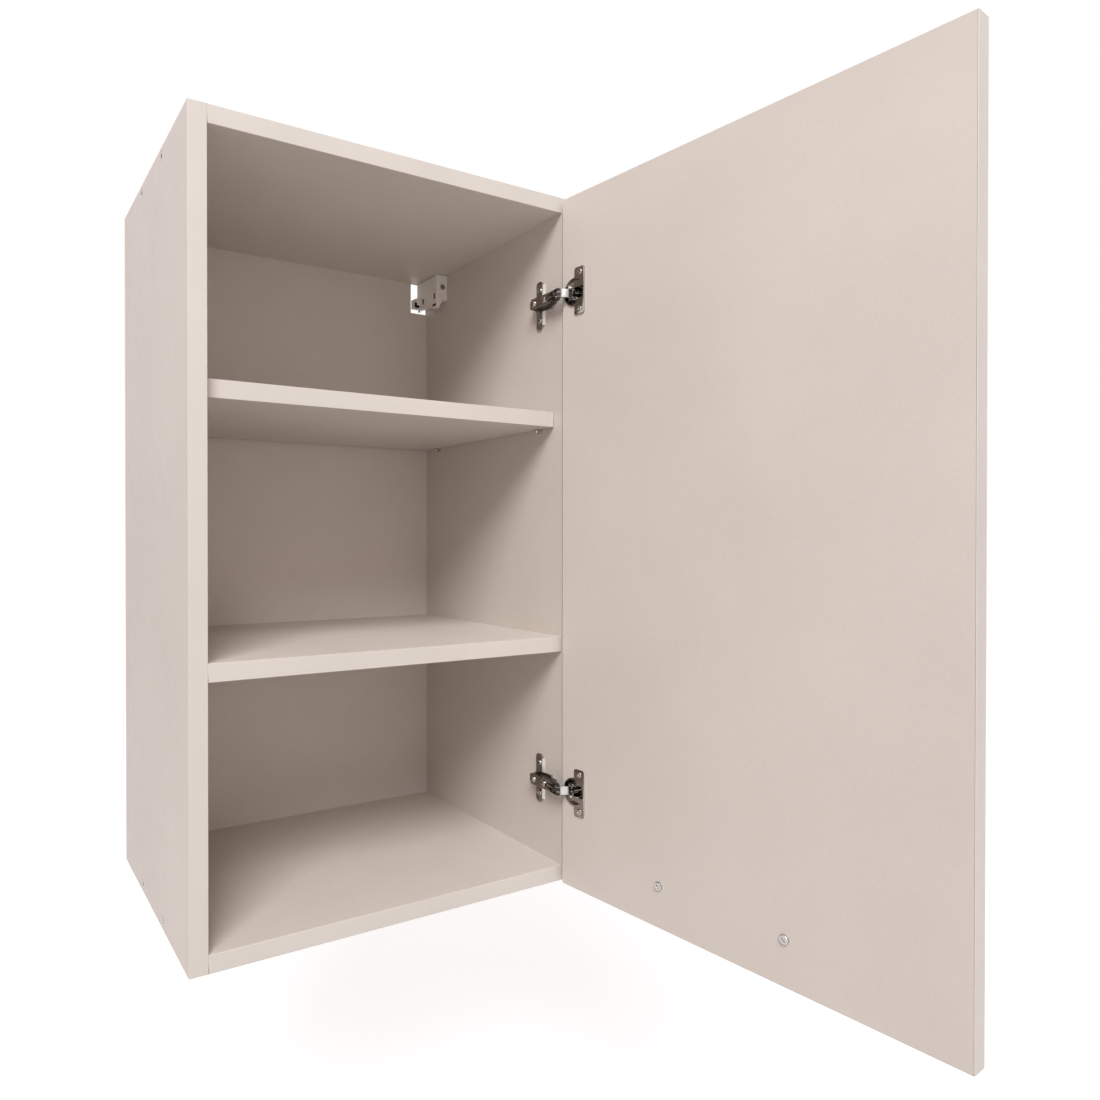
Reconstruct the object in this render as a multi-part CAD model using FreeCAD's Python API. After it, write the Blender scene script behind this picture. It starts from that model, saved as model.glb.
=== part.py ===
"""Kitchen wall cabinet with one side-hung door, two shelves, hanging brackets and concealed hinges.

Millimetres, +Z up, +X to the right as seen from the front, +Y to the wall.
The origin is the centre of the rear face. The door is modelled shut and then swung to its open rest place.
"""
import FreeCAD, Part
import math
import os

os.makedirs("parts", exist_ok=True)

V = FreeCAD.Vector

# Carcass
cabinet_width = 400.0
cabinet_height = 720.0
cabinet_depth = 300.0
board = 16.0
edging = 0.8
back_thickness = 3.0
back_rebate = 8.0
back_play = 0.5
fixed_shelf_height = 242.0
loose_shelf_height = 480.3
loose_shelf_setback = 13.0
loose_shelf_rear_gap = 3.0
loose_shelf_end_play = 1.0

# Drilling grid of the sides, measured from the front edge
grid_first = 37.0
grid_step = 32.0
pin_rear_steps = 7
screw_front_steps = 2
screw_rear_steps = 5

# Carcass fasteners
confirmat_length = 50.0
confirmat_r = 3.2
confirmat_head_r = 4.8
confirmat_head_depth = 4.0
socket_depth = 2.4
socket_r = 2.0
dowel_r = 4.0
dowel_length = 28.0
shelf_pin_r = 2.5
shelf_pin_hole_depth = 9.0
shelf_pin_reach = 8.0
shelf_pin_flat = 2.1
nail_r = 0.8
nail_length = 14.0
nail_head_r = 2.2
nail_head = 0.6
nails_up_side = 4
nails_across = 3
nail_from_corner = 60.0
fit = 0.05

# Door
door_thickness = 16.0
door_top_step = 5.0
door_reveal = 2.0
door_gap = 2.5
opening_angle = 96.0
handle_pitch = 128.0
handle_from_hinge_edge = 192.0
handle_from_bottom = 39.0
handle_r = 5.0
handle_post_r = 4.0
handle_overhang = 16.0
handle_stand_off = 28.0
handle_screw_r = 2.0
handle_screw_head_r = 4.2
handle_screw_head = 2.2
handle_screw_grip = 10.0

# Hinge places
hinge_from_door_end = 100.0
cup_from_edge = 18.0
cup_r = 14.0
cup_depth = 12.5
cup_wall = 0.7
cup_rim_r = 14.4
flange_thickness = 1.2
flange_width = 14.0
flange_height = 48.4
flange_screw_pitch = 38.0
flange_corner = 3.0
flange_offset = 7.4
bowl_depth = 3.6
cup_screw_r = 1.7
cup_screw_head_r = 3.2
cup_screw_head = 1.0
cup_screw_length = 11.0

# Hinge linkage, seen from above. The pole is the point of the door that lies in one place shut and open.
pole_from_edge = 7.29
pole_depth = 9.42
outer_pivot_from_side = 11.99
outer_pivot_ahead = 9.55
outer_reach = 5.14
inner_pivot_from_side = 14.53
inner_pivot_ahead = 4.81
inner_reach = 5.26
link_pin_r = 1.0
outer_eye_r = 2.2
inner_eye_r = 1.9
outer_link_half = 1.4
inner_link_half = 1.2
outer_sagitta = 3.43
inner_sagitta = 2.99
web_thickness = 0.8
web_from = 0.3
web_to = 0.86
open_pivot_play = 0.8
open_eye_r = 3.0
nose_root = 6.0

# Layers of the hinge along its pins, each a half width from its middle
inner_link_z = 1.5
lug_z0 = 1.8
lug_z1 = 2.9
outer_link_z0 = 3.2
outer_link_z1 = 4.3
arm_z0 = 4.6
arm_z1 = 5.7
cup_pocket_z = 6.1
cup_pin_z = 7.5

# Hinge arm and mounting plate
arm_rear = 39.0
arm_front = 4.0
arm_web_ahead = 2.5
arm_low = 3.0
arm_high = 12.0
arm_web = 1.5
plate_width = 11.0
plate_flank = 3.2
plate_height = 52.0
plate_thickness = 2.0
plate_corner = 4.0
plate_screw_pitch = 32.0
plate_screw_r = 2.5
plate_screw_head_r = 3.8
plate_screw_head = 1.2
plate_screw_depth = 11.0
rail_front = 10.5
rail_rear = 43.0
rail_half = 4.2
rail_foot_front = 13.0
rail_foot_half = 7.6
rail_foot_thickness = 2.6
clamp_screw_from_front = 34.5
adjusting_screw_from_front = 16.0
arm_screw_r = 2.0
arm_screw_head_r = 3.6
arm_screw_head = 1.6
slot_half = 3.5

# Hanging brackets
bracket_depth = 55.0
bracket_height = 44.0
bracket_thickness = 14.5
bracket_corner = 3.0
bracket_top_gap = 0.8
lobe_from_top = 33.0
lobe_root = 8.4
lobe_tip = 2.4
lobe_depth = 10.0
bracket_undercut = 9.4
bracket_undercut_depth = 27.0
foot_width = 9.0
foot_depth = 8.0
foot_low = 11.5
foot_high = 15.5
foot_recess = 3.5
notch_play = 0.6
notch_from_top = 39.3
hook_thickness = 2.5
hook_height = 16.0
hook_drop = 6.5
hook_from_top = 12.0
hook_from_side = 5.0
hook_reach = 8.0
hook_inside = 51.0
hook_play = 0.3
peg_r = 4.0
peg_length = 10.0
peg_from_top = 26.0
peg_from_ends = 12.0
depth_screw_r = 3.4
depth_screw_from_top = 16.0
depth_screw_sunk = 2.0
adjuster_r = 4.2
adjuster_from_top = 27.0
adjuster_from_front = 8.0
adjuster_pitch = 30.0
tool_slot_length = 7.0
tool_slot_width = 3.4
tool_slot_depth = 3.5
release_slot_length = 9.0
release_slot_width = 2.4
release_slot_from_top = 38.5
recess_depth = 1.2
recess_width = 1.0

# Outer planes of the carcass
left = -cabinet_width / 2
right = cabinet_width / 2
front = -cabinet_depth
bottom = -cabinet_height / 2
top = cabinet_height / 2
inner_left = left + board
inner_right = right - board
back_inner = -back_thickness
inner_bottom = bottom + board
inner_top = top - board

# Planes of the shut door
door_inner = front - door_gap
door_outer = door_inner - door_thickness
door_right = right - door_reveal
door_left = left + door_reveal
door_bottom = bottom
door_top = top - door_top_step
hinge_heights = {"lower": door_bottom + hinge_from_door_end, "upper": door_top - hinge_from_door_end}
pole = V(door_right - pole_from_edge, door_inner - pole_depth, 0)


def box(x0, x1, y0, y1, z0, z1):
    """Block between two corners."""
    return Part.makeBox(x1 - x0, y1 - y0, z1 - z0, V(x0, y0, z0))


def rounded(block, axis, radius):
    """Block with its edges along one axis rounded."""
    edges = [e for e in block.Edges if e.tangentAt(e.FirstParameter).cross(axis).Length < 1e-6]
    return block.makeFillet(radius, edges)


def rod(start, direction, radius, length):
    """Cylinder from a point along a direction."""
    return Part.makeCylinder(radius, length, start, direction)


def prism(points, z0, z1):
    """Upright prism on a plan outline."""
    corners = [V(x, y, z0) for x, y in points]
    return Part.Face(Part.makePolygon(corners + corners[:1])).extrude(V(0, 0, z1 - z0))


def mirrored_pair(z0, z1):
    """The two layers, one each side of a hinge's middle."""
    return ((z0, z1), (-z1, -z0))


def swing(shape):
    """Turns a piece of the shut door to its open rest place."""
    turned = shape.copy()
    turned.rotate(pole, V(0, 0, 1), opening_angle)
    return turned


def lift(shape, height):
    """Copy of a piece raised to a height."""
    raised = shape.copy()
    raised.translate(V(0, 0, height))
    return raised


def save(name, shapes):
    """Writes one node as a STEP file of separate solids."""
    solids = [s for shape in shapes for s in shape.Solids]
    Part.makeCompound(solids).exportStep("parts/%s.step" % name)


def cross_recess(centre, direction, across, radius):
    """Two crossed slots cut into a screw head."""
    third = direction.cross(across)
    slots = []
    for length_axis, width_axis in ((across, third), (third, across)):
        a, b = length_axis * radius, width_axis * (recess_width / 2)
        d = direction * recess_depth
        outline = [centre + a + b, centre + a - b, centre - a - b, centre - a + b]
        slots.append(Part.Face(Part.makePolygon(outline + outline[:1])).extrude(d))
    return slots[0].fuse(slots[1])


def pan_screw(seat, inward, across, shank_r, length, head_r, head):
    """Screw with a domed-edge head on a seat and a cross recess; inward is the way it is driven."""
    shank = rod(seat, inward, shank_r, length)
    cap = rod(seat - inward * head, inward, head_r, head)
    return shank.fuse(cap).cut(cross_recess(seat - inward * head, inward, across, head_r * 0.55))


# Fasteners of the carcass
grid = [grid_first + grid_step * n for n in range(pin_rear_steps + 1)]
screw_rows = [front + grid_first + grid_step * n for n in (screw_front_steps, screw_rear_steps)]
pin_rows = [front + grid[0], front + grid[-1]]
loose_shelf_bottom = bottom + loose_shelf_height
pin_height = loose_shelf_bottom - shelf_pin_flat
sides = ((left, V(1, 0, 0), inner_left), (right, V(-1, 0, 0), inner_right))
fixed_shelf_bottom = bottom + fixed_shelf_height

confirmats, confirmat_holes = [], []
dowels, dowel_holes = [], []
shelf_pins, shelf_pin_holes = [], []
for outside, inward, inside in sides:
    for y in screw_rows:
        for z in (bottom + board / 2, top - board / 2):
            seat = V(outside, y, z)
            head = rod(seat, inward, confirmat_head_r, confirmat_head_depth)
            socket = rod(seat, inward, socket_r, socket_depth)
            shank = rod(seat, inward, confirmat_r, confirmat_length)
            confirmats.append(head.fuse(shank).cut(socket))
            bored = rod(seat, inward, confirmat_head_r + fit, confirmat_head_depth)
            confirmat_holes.append(bored.fuse(rod(seat, inward, confirmat_r + fit, confirmat_length)))
        start = V(inside, y, fixed_shelf_bottom + board / 2) - inward * (dowel_length / 2 - 4)
        dowels.append(rod(start, inward, dowel_r, dowel_length))
        dowel_holes.append(rod(start, inward, dowel_r + fit, dowel_length))
    for y in pin_rows:
        start = V(inside, y, pin_height) - inward * shelf_pin_hole_depth
        peg = rod(start, inward, shelf_pin_r, shelf_pin_hole_depth + shelf_pin_reach)
        lid = box(left, right, y - board, y + board, loose_shelf_bottom, loose_shelf_bottom + board)
        shelf_pins.append(peg.cut(lid.common(box(inner_left, inner_right, front, 0, bottom, top))))
        shelf_pin_holes.append(rod(start, inward, shelf_pin_r + fit, shelf_pin_hole_depth))
carcass_holes = confirmat_holes + dowel_holes

# Hinge mounting plates, arms and screws, each made once about the middle of its hinge
side_in = V(-1, 0, 0)
side_out = V(1, 0, 0)
up = V(0, 0, 1)
plate_y = front + grid_first
plate_face = inner_right - plate_thickness
plate_screw_levels = (-plate_screw_pitch / 2, plate_screw_pitch / 2)
rail_top = arm_high - arm_web
arm_x_high = inner_right - arm_high
outer_arm_pivot = V(inner_right - outer_pivot_from_side, front - outer_pivot_ahead, 0)
inner_arm_pivot = V(inner_right - inner_pivot_from_side, front - inner_pivot_ahead, 0)


def door_plan(point):
    """Plan place of a point of the shut door: in from its hinge edge, and out of its inner face."""
    return door_right - point.x, point.y - door_inner


def cup_pivot(arm_pivot, reach):
    """Pivot in the shut door that is as far from the arm's pivot shut as open."""
    along, out = door_plan(arm_pivot)
    middle = math.atan2(out + pole_depth, along - pole_from_edge) + math.radians(opening_angle) / 2
    return V(pole.x - reach * math.cos(middle), pole.y + reach * math.sin(middle), 0)


def turned_point(point):
    """Open place of a point of the shut door."""
    return FreeCAD.Rotation(up, opening_angle).multVec(point - pole) + pole


outer_cup_shut = cup_pivot(outer_arm_pivot, outer_reach)
inner_cup_shut = cup_pivot(inner_arm_pivot, inner_reach)
outer_cup_open = turned_point(outer_cup_shut)
inner_cup_open = turned_point(inner_cup_shut)


def turn_share(arm_pivot, cup_open, cup_shut):
    """A link's turn for each degree that the door turns."""
    a, b = cup_open - arm_pivot, cup_shut - arm_pivot
    turn = math.degrees(math.atan2(a.x * b.y - a.y * b.x, a.dot(b)))
    return -turn / opening_angle


outer_share = turn_share(outer_arm_pivot, outer_cup_open, outer_cup_shut)
inner_share = turn_share(inner_arm_pivot, inner_cup_open, inner_cup_shut)


def hinge_plate():
    """Cross-shaped plate: two screwed wings with sloped fronts, and the footed rail under the arm."""
    wing_front = plate_y - plate_width / 2
    wings = box(plate_face, inner_right, wing_front, plate_y + plate_width / 2,
                -plate_height / 2, plate_height / 2)
    slope = [(plate_face, wing_front), (inner_right, wing_front), (inner_right, wing_front - plate_flank)]
    flank = prism(slope, plate_corner - plate_height / 2, plate_height / 2 - plate_corner)
    rail = box(inner_right - rail_top, inner_right, front + rail_front, front + rail_rear,
               -rail_half, rail_half)
    foot = box(inner_right - rail_foot_thickness, inner_right, front + rail_foot_front, front + rail_rear,
               -rail_foot_half, rail_foot_half)
    plate = rounded(wings, side_out, plate_corner).fuse(rounded(foot, side_out, plate_corner))
    plate = plate.fuse(rail).fuse(flank)
    for z in plate_screw_levels:
        plate = plate.cut(rod(V(plate_face, plate_y, z), side_out, plate_screw_r + fit, board))
    for y in (clamp_screw_from_front, adjusting_screw_from_front):
        start = V(arm_x_high, front + y, 0)
        plate = plate.cut(rod(start, side_out, arm_screw_r + fit, arm_high - plate_thickness))
    return plate


def plate_screws():
    """The plate's two screws, driven into the side board."""
    length = plate_thickness + plate_screw_depth
    return [pan_screw(V(plate_face, plate_y, z), side_out, up, plate_screw_r, length,
                      plate_screw_head_r, plate_screw_head) for z in plate_screw_levels]


def plate_screw_holes(height):
    """Holes for one plate's screws in the side board."""
    return [rod(V(inner_right - fit, plate_y, height + z), side_out, plate_screw_r + fit,
                plate_screw_depth + fit) for z in plate_screw_levels]


def hinge_arm():
    """Channel over the rail with a forked nose that holds the pins of both links."""
    outer, inner = outer_arm_pivot, inner_arm_pivot
    x0, x1 = arm_x_high, inner_right - arm_low
    y0, y1 = front + arm_front, front + arm_rear
    arm = box(x0, x0 + arm_web, front - arm_web_ahead, y1, -arm_z1, arm_z1)
    nose = [(x0, y0), (outer.x - outer_eye_r, outer.y), (outer.x, outer.y - outer_eye_r),
            (outer.x + outer_eye_r, outer.y), (x0 + nose_root, y0)]
    for z0, z1 in mirrored_pair(arm_z0, arm_z1):
        arm = arm.fuse(box(x0, x1, y0, y1, z0, z1)).fuse(prism(nose, z0, z1))
        arm = arm.cut(rod(V(outer.x, outer.y, z0), up, link_pin_r + fit, z1 - z0))
    lug = [(x0, y0 + nose_root), (inner.x - inner_eye_r, inner.y), (inner.x, inner.y - inner_eye_r),
           (inner.x + inner_eye_r, inner.y), (x0 + nose_root, y0), (x0 + nose_root, y0 + nose_root)]
    for z0, z1 in mirrored_pair(lug_z0, lug_z1):
        arm = arm.fuse(prism(lug, z0, z1))
        arm = arm.cut(rod(V(inner.x, inner.y, z0), up, link_pin_r + fit, z1 - z0))
    arm = arm.cut(rod(V(x0, front + clamp_screw_from_front, 0), side_out, arm_screw_r + fit, arm_web))
    slot_y = front + adjusting_screw_from_front
    slot_r = arm_screw_r + fit
    slot = box(x0, x0 + arm_web, slot_y - slot_half, slot_y + slot_half, -slot_r, slot_r)
    for y in (slot_y - slot_half, slot_y + slot_half):
        slot = slot.fuse(rod(V(x0, y, 0), side_out, slot_r, arm_web))
    return arm.cut(slot).removeSplitter()


def arm_screw(from_front):
    """Screw through the arm's web into the rail."""
    seat = V(arm_x_high, front + from_front, 0)
    length = arm_high - plate_thickness - fit
    return pan_screw(seat, side_out, up, arm_screw_r, length, arm_screw_head_r, arm_screw_head)


def arm_pins():
    """Two stub pins for the outer link and one through pin for the inner link."""
    outer, inner = outer_arm_pivot, inner_arm_pivot
    pins = [rod(V(outer.x, outer.y, z0), up, link_pin_r, z1 - z0)
            for z0, z1 in mirrored_pair(outer_link_z0, arm_z1)]
    return pins + [rod(V(inner.x, inner.y, -lug_z1), up, link_pin_r, 2 * lug_z1)]


def bowed_bar(start, end, sagitta, half, z0, z1, share=(0.0, 1.0), inset=0.0):
    """Curved bar from start to end, bowed to the left of its way, over a share of its length.

    inset keeps only that much of its outer side.
    """
    chord = end - start
    length = chord.Length
    radius = (length ** 2 / 4 + sagitta ** 2) / (2 * sagitta)
    left_hand = V(-chord.y, chord.x, 0) / length
    centre = (start + end) / 2 + left_hand * (sagitta - radius)
    r1 = radius + half
    r0 = r1 - inset if inset else radius - half
    spread = math.asin(length / 2 / radius)
    along = chord / length

    def at(r, s):
        angle = spread * (2 * s - 1)
        return centre + along * (r * math.sin(angle)) + left_hand * (r * math.cos(angle)) + V(0, 0, z0)

    s0, s1 = share
    mid = (s0 + s1) / 2
    edges = [Part.Arc(at(r1, s0), at(r1, mid), at(r1, s1)).toShape(),
             Part.LineSegment(at(r1, s1), at(r0, s1)).toShape(),
             Part.Arc(at(r0, s1), at(r0, mid), at(r0, s0)).toShape(),
             Part.LineSegment(at(r0, s0), at(r1, s0)).toShape()]
    return Part.Face(Part.Wire(edges)).extrude(V(0, 0, z1 - z0))


def pinned_bar(start, end, sagitta, half, eyes, z0, z1):
    """Bowed bar with round eyes; each eye is its pivot, its radius and its hole's radius."""
    bar = bowed_bar(start, end, sagitta, half, z0, z1)
    for pivot, radius, hole in eyes:
        bar = bar.fuse(rod(V(pivot.x, pivot.y, z0), up, radius, z1 - z0))
    for pivot, radius, hole in eyes:
        bar = bar.cut(rod(V(pivot.x, pivot.y, z0), up, hole, z1 - z0))
    return bar


def outer_link():
    """Two bowed cheeks with an eye at each end, joined by a curved web on their outer side."""
    start, end = outer_cup_open, outer_arm_pivot
    eyes = [(pivot, outer_eye_r, link_pin_r + fit) for pivot in (start, end)]
    link = bowed_bar(start, end, outer_sagitta, outer_link_half, -outer_link_z1, outer_link_z1,
                     (web_from, web_to), web_thickness)
    for z0, z1 in mirrored_pair(outer_link_z0, outer_link_z1):
        link = link.fuse(pinned_bar(start, end, outer_sagitta, outer_link_half, eyes, z0, z1))
    return link.removeSplitter()


def inner_link():
    """Bowed bar on the arm's pin; its cup eye is wide, because the loop of links is opened there."""
    start, end = inner_cup_open, inner_arm_pivot
    eyes = [(end, inner_eye_r, link_pin_r + fit), (start, open_eye_r, link_pin_r + open_pivot_play)]
    return pinned_bar(start, end, inner_sagitta, inner_link_half, eyes, -inner_link_z, inner_link_z)


# Door furniture, modelled on the shut door
cup_x = door_right - cup_from_edge
flange_x = cup_x - flange_offset
into_door = V(0, -1, 0)
pocket_floor = door_inner - cup_depth + cup_wall
flange_top = door_inner + flange_thickness


def hinge_cup():
    """Cup with a screwed flange, a round bowl over the links' pocket, and lugs for the inner link's pin."""
    body = rod(V(cup_x, door_inner, 0), into_door, cup_r, cup_depth)
    rim = rod(V(cup_x, flange_top, 0), into_door, cup_rim_r, flange_thickness)
    wing = box(flange_x - flange_width / 2, flange_x + flange_width / 2, door_inner, flange_top,
               -flange_height / 2, flange_height / 2)
    cup = body.fuse(rim).fuse(rounded(wing, into_door, flange_corner))
    pocket = rod(V(cup_x, flange_top, 0), into_door, cup_r - cup_wall, flange_top - pocket_floor)
    cup = cup.cut(pocket.common(box(cup_x - cup_r, cup_x + cup_r, pocket_floor, flange_top,
                                    -cup_pocket_z, cup_pocket_z)))
    cup = cup.cut(rod(V(cup_x, flange_top, 0), into_door, cup_r - cup_wall, bowl_depth))
    pin = inner_cup_shut
    for z0, z1 in mirrored_pair(lug_z0, lug_z1):
        lug = box(pin.x - inner_eye_r, pin.x + inner_eye_r, pocket_floor, pin.y, z0, z1)
        cup = cup.fuse(lug.fuse(rod(V(pin.x, pin.y, z0), up, inner_eye_r, z1 - z0)))
    cup = cup.cut(rod(V(pin.x, pin.y, -lug_z1), up, link_pin_r + fit, 2 * lug_z1))
    pin = outer_cup_shut
    for z0, z1 in mirrored_pair(cup_pocket_z, cup_pin_z):
        cup = cup.cut(rod(V(pin.x, pin.y, z0), up, link_pin_r + fit, z1 - z0))
    for z in (-flange_screw_pitch / 2, flange_screw_pitch / 2):
        cup = cup.cut(rod(V(flange_x, flange_top, z), into_door, cup_screw_r + fit, flange_thickness))
    return cup.removeSplitter()


def cup_pins():
    """Two stub pins for the outer link and one pin between the lugs."""
    outer, inner = outer_cup_shut, inner_cup_shut
    pins = [rod(V(outer.x, outer.y, z0), up, link_pin_r, z1 - z0)
            for z0, z1 in mirrored_pair(outer_link_z0, cup_pin_z)]
    return pins + [rod(V(inner.x, inner.y, -lug_z1), up, link_pin_r, 2 * lug_z1)]


def cup_screws():
    """The flange's two screws, driven into the door."""
    seats = [V(flange_x, flange_top, z) for z in (-flange_screw_pitch / 2, flange_screw_pitch / 2)]
    return [pan_screw(s, into_door, up, cup_screw_r, cup_screw_length, cup_screw_head_r, cup_screw_head)
            for s in seats]


handle_z = door_bottom + handle_from_bottom
handle_x = [door_right - handle_from_hinge_edge + side * handle_pitch / 2 for side in (-1, 1)]


def door_board():
    """Door board inside its edging, bored for cups, cup screws and handle screws."""
    panel = box(door_left + edging, door_right - edging, door_outer, door_inner,
                door_bottom + edging, door_top - edging)
    for height in hinge_heights.values():
        panel = panel.cut(rod(V(cup_x, door_inner, height), into_door, cup_r + fit, cup_depth))
        for z in (-flange_screw_pitch / 2, flange_screw_pitch / 2):
            panel = panel.cut(rod(V(flange_x, door_inner, height + z), into_door, cup_screw_r + fit,
                                  cup_screw_length - flange_thickness))
    for x in handle_x:
        panel = panel.cut(rod(V(x, door_inner, handle_z), into_door, handle_screw_r + fit, door_thickness))
    return panel


def door_edging():
    """Four strips round the door board."""
    y0, y1 = door_outer, door_inner
    upright = [box(x, x + edging, y0, y1, door_bottom, door_top) for x in (door_left, door_right - edging)]
    level = [box(door_left + edging, door_right - edging, y0, y1, z, z + edging)
             for z in (door_bottom, door_top - edging)]
    return upright + level


def door_handle():
    """Round bar on two posts, tapped for the handle screws."""
    axis_y = door_outer - handle_stand_off
    handle = rod(V(handle_x[0] - handle_overhang, axis_y, handle_z), V(1, 0, 0), handle_r,
                 handle_pitch + 2 * handle_overhang)
    for x in handle_x:
        handle = handle.fuse(rod(V(x, door_outer, handle_z), into_door, handle_post_r, handle_stand_off))
    for x in handle_x:
        start = V(x, door_outer, handle_z)
        handle = handle.cut(rod(start, into_door, handle_screw_r + fit, handle_screw_grip))
    return handle


def handle_screws():
    """Two screws with pan heads on the inner face."""
    length = door_thickness + handle_screw_grip
    return [pan_screw(V(x, door_inner, handle_z), into_door, up, handle_screw_r, length,
                      handle_screw_head_r, handle_screw_head) for x in handle_x]


# Hanging brackets, modelled at the right and mirrored to the left
bracket_left = inner_right - bracket_thickness
bracket_front = back_inner - bracket_depth
bracket_bottom = inner_top - bracket_height
hook_x1 = inner_right - hook_from_side
hook_x0 = hook_x1 - hook_thickness
hook_top = inner_top - hook_from_top
hook_bottom = hook_top - hook_height
hook_front = back_inner - hook_inside
peg_places = [V(inner_right, y, inner_top - peg_from_top)
              for y in (bracket_front + peg_from_ends, back_inner - peg_from_ends)]
adjuster_places = [V(bracket_left, bracket_front + adjuster_from_front + n * adjuster_pitch,
                     inner_top - adjuster_from_top) for n in (0, 1)]
depth_screw_place = V((hook_x0 + hook_x1) / 2, bracket_front + depth_screw_sunk,
                      inner_top - depth_screw_from_top)
depth_screw_length = hook_front - depth_screw_place.y
release_slot_y = bracket_front + adjuster_from_front
release_slot_z = inner_top - release_slot_from_top
foot_bottom = bracket_bottom + bracket_undercut


def bracket_housing():
    """Plastic block with a foot on the back panel, a slot for the hook and pegs into the side board."""
    block = box(bracket_left, inner_right, bracket_front, back_inner, bracket_bottom,
                inner_top - bracket_top_gap)
    middle = V(bracket_left, bracket_front, block.CenterOfMass.z)
    corner = [e for e in block.Edges if (e.CenterOfMass - middle).Length < fit]
    block = block.makeFillet(bracket_corner, corner)
    lobe_z = inner_top - lobe_from_top
    beside = [V(bracket_left + lobe_root, bracket_front, lobe_z), V(inner_right, bracket_front, lobe_z),
              V(inner_right, bracket_front, bracket_bottom),
              V(bracket_left + lobe_tip, bracket_front, bracket_bottom)]
    block = block.cut(Part.Face(Part.makePolygon(beside + beside[:1])).extrude(V(0, bracket_depth, 0)))
    below = [V(bracket_left, bracket_front + lobe_depth, bracket_bottom),
             V(bracket_left, back_inner - bracket_undercut_depth, foot_bottom),
             V(bracket_left, back_inner, foot_bottom), V(bracket_left, back_inner, bracket_bottom)]
    block = block.cut(Part.Face(Part.makePolygon(below + below[:1])).extrude(V(bracket_thickness, 0, 0)))
    foot = [V(bracket_left, back_inner, foot_bottom),
            V(bracket_left, back_inner, foot_bottom + foot_high),
            V(bracket_left - foot_width, back_inner, foot_bottom + foot_low),
            V(bracket_left - foot_width, back_inner, foot_bottom)]
    block = block.fuse(Part.Face(Part.makePolygon(foot + foot[:1])).extrude(V(0, -foot_depth, 0)))
    block = block.cut(box(hook_x0 - hook_play, hook_x1 + hook_play, hook_front, back_inner,
                          hook_bottom - hook_play, hook_top + hook_play))
    for place in peg_places:
        block = block.fuse(rod(place, V(1, 0, 0), peg_r, peg_length))
    for place in adjuster_places:
        block = block.cut(rod(place, V(1, 0, 0), adjuster_r + fit, hook_x0 - bracket_left))
    sunk = V(depth_screw_place.x, bracket_front, depth_screw_place.z)
    block = block.cut(rod(sunk, V(0, 1, 0), depth_screw_r + fit, hook_front - bracket_front))
    block = block.cut(box(bracket_left, bracket_left + lobe_tip, release_slot_y - release_slot_length / 2,
                          release_slot_y + release_slot_length / 2, release_slot_z - release_slot_width / 2,
                          release_slot_z + release_slot_width / 2))
    foot_left = bracket_left - foot_width
    foot_front = back_inner - foot_depth
    for x1, z1 in ((foot_recess, 2 * foot_recess), (2 * foot_recess, foot_recess)):
        block = block.cut(box(foot_left + 1, foot_left + 1 + x1, foot_front, foot_front + foot_recess,
                              foot_bottom + 1, foot_bottom + 1 + z1))
    return block.removeSplitter()


def bracket_hook():
    """Steel strip that comes out through the back panel and turns down over the wall rail."""
    strip = box(hook_x0, hook_x1, hook_front, hook_reach, hook_bottom, hook_top)
    tab = box(hook_x0, hook_x1, hook_reach - hook_thickness, hook_reach,
              hook_bottom - hook_drop, hook_bottom)
    return strip.fuse(tab).removeSplitter()


def bracket_screws():
    """Two slotted adjusters on the hook's side and one depth screw at its front end."""
    screws = []
    for place in adjuster_places:
        slot = box(place.x, place.x + tool_slot_depth, place.y - tool_slot_width / 2,
                   place.y + tool_slot_width / 2, place.z - tool_slot_length / 2,
                   place.z + tool_slot_length / 2)
        screws.append(rod(place, V(1, 0, 0), adjuster_r, hook_x0 - place.x).cut(slot))
    depth_screw = rod(depth_screw_place, V(0, 1, 0), depth_screw_r, depth_screw_length)
    screws.append(depth_screw.cut(cross_recess(depth_screw_place, V(0, 1, 0), up, depth_screw_r * 0.6)))
    return screws


def to_left(shape):
    """Mirror copy at the other side of the cabinet."""
    return shape.mirror(V(0, 0, 0), V(1, 0, 0))


# Boards of the carcass
board_front = front + edging
peg_holes = [rod(p, V(1, 0, 0), peg_r + fit, peg_length) for p in peg_places]
right_side = box(inner_right, right, board_front, 0, bottom, top)
right_side = right_side.cut(box(inner_right, inner_right + back_rebate, back_inner, 0, bottom, top))
left_side = to_left(right_side)
for hole in carcass_holes + shelf_pin_holes:
    right_side = right_side.cut(hole)
    left_side = left_side.cut(hole)
for hole in peg_holes:
    right_side = right_side.cut(hole)
    left_side = left_side.cut(to_left(hole))
for height in hinge_heights.values():
    for hole in plate_screw_holes(height):
        right_side = right_side.cut(hole)


def level_board(z0, y0, y1, play):
    """Board between the sides, bored for the fasteners that meet it."""
    shelf = box(inner_left + play, inner_right - play, y0, y1, z0, z0 + board)
    for hole in carcass_holes:
        if hole.BoundBox.ZMin < z0 + board and hole.BoundBox.ZMax > z0:
            shelf = shelf.cut(hole)
    return shelf


def front_strip(x0, x1, y0, z0, z1):
    """Edging strip on a front edge."""
    return box(x0, x1, y0, y0 + edging, z0, z1)


loose_front = front + loose_shelf_setback
loose_x0 = inner_left + loose_shelf_end_play
loose_x1 = inner_right - loose_shelf_end_play
strips = [front_strip(left, inner_left, front, bottom, top),
          front_strip(inner_right, right, front, bottom, top),
          front_strip(loose_x0, loose_x1, loose_front, loose_shelf_bottom, loose_shelf_bottom + board)]
for z in (bottom, inner_top, fixed_shelf_bottom):
    strips.append(front_strip(inner_left, inner_right, front, z, z + board))

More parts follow.
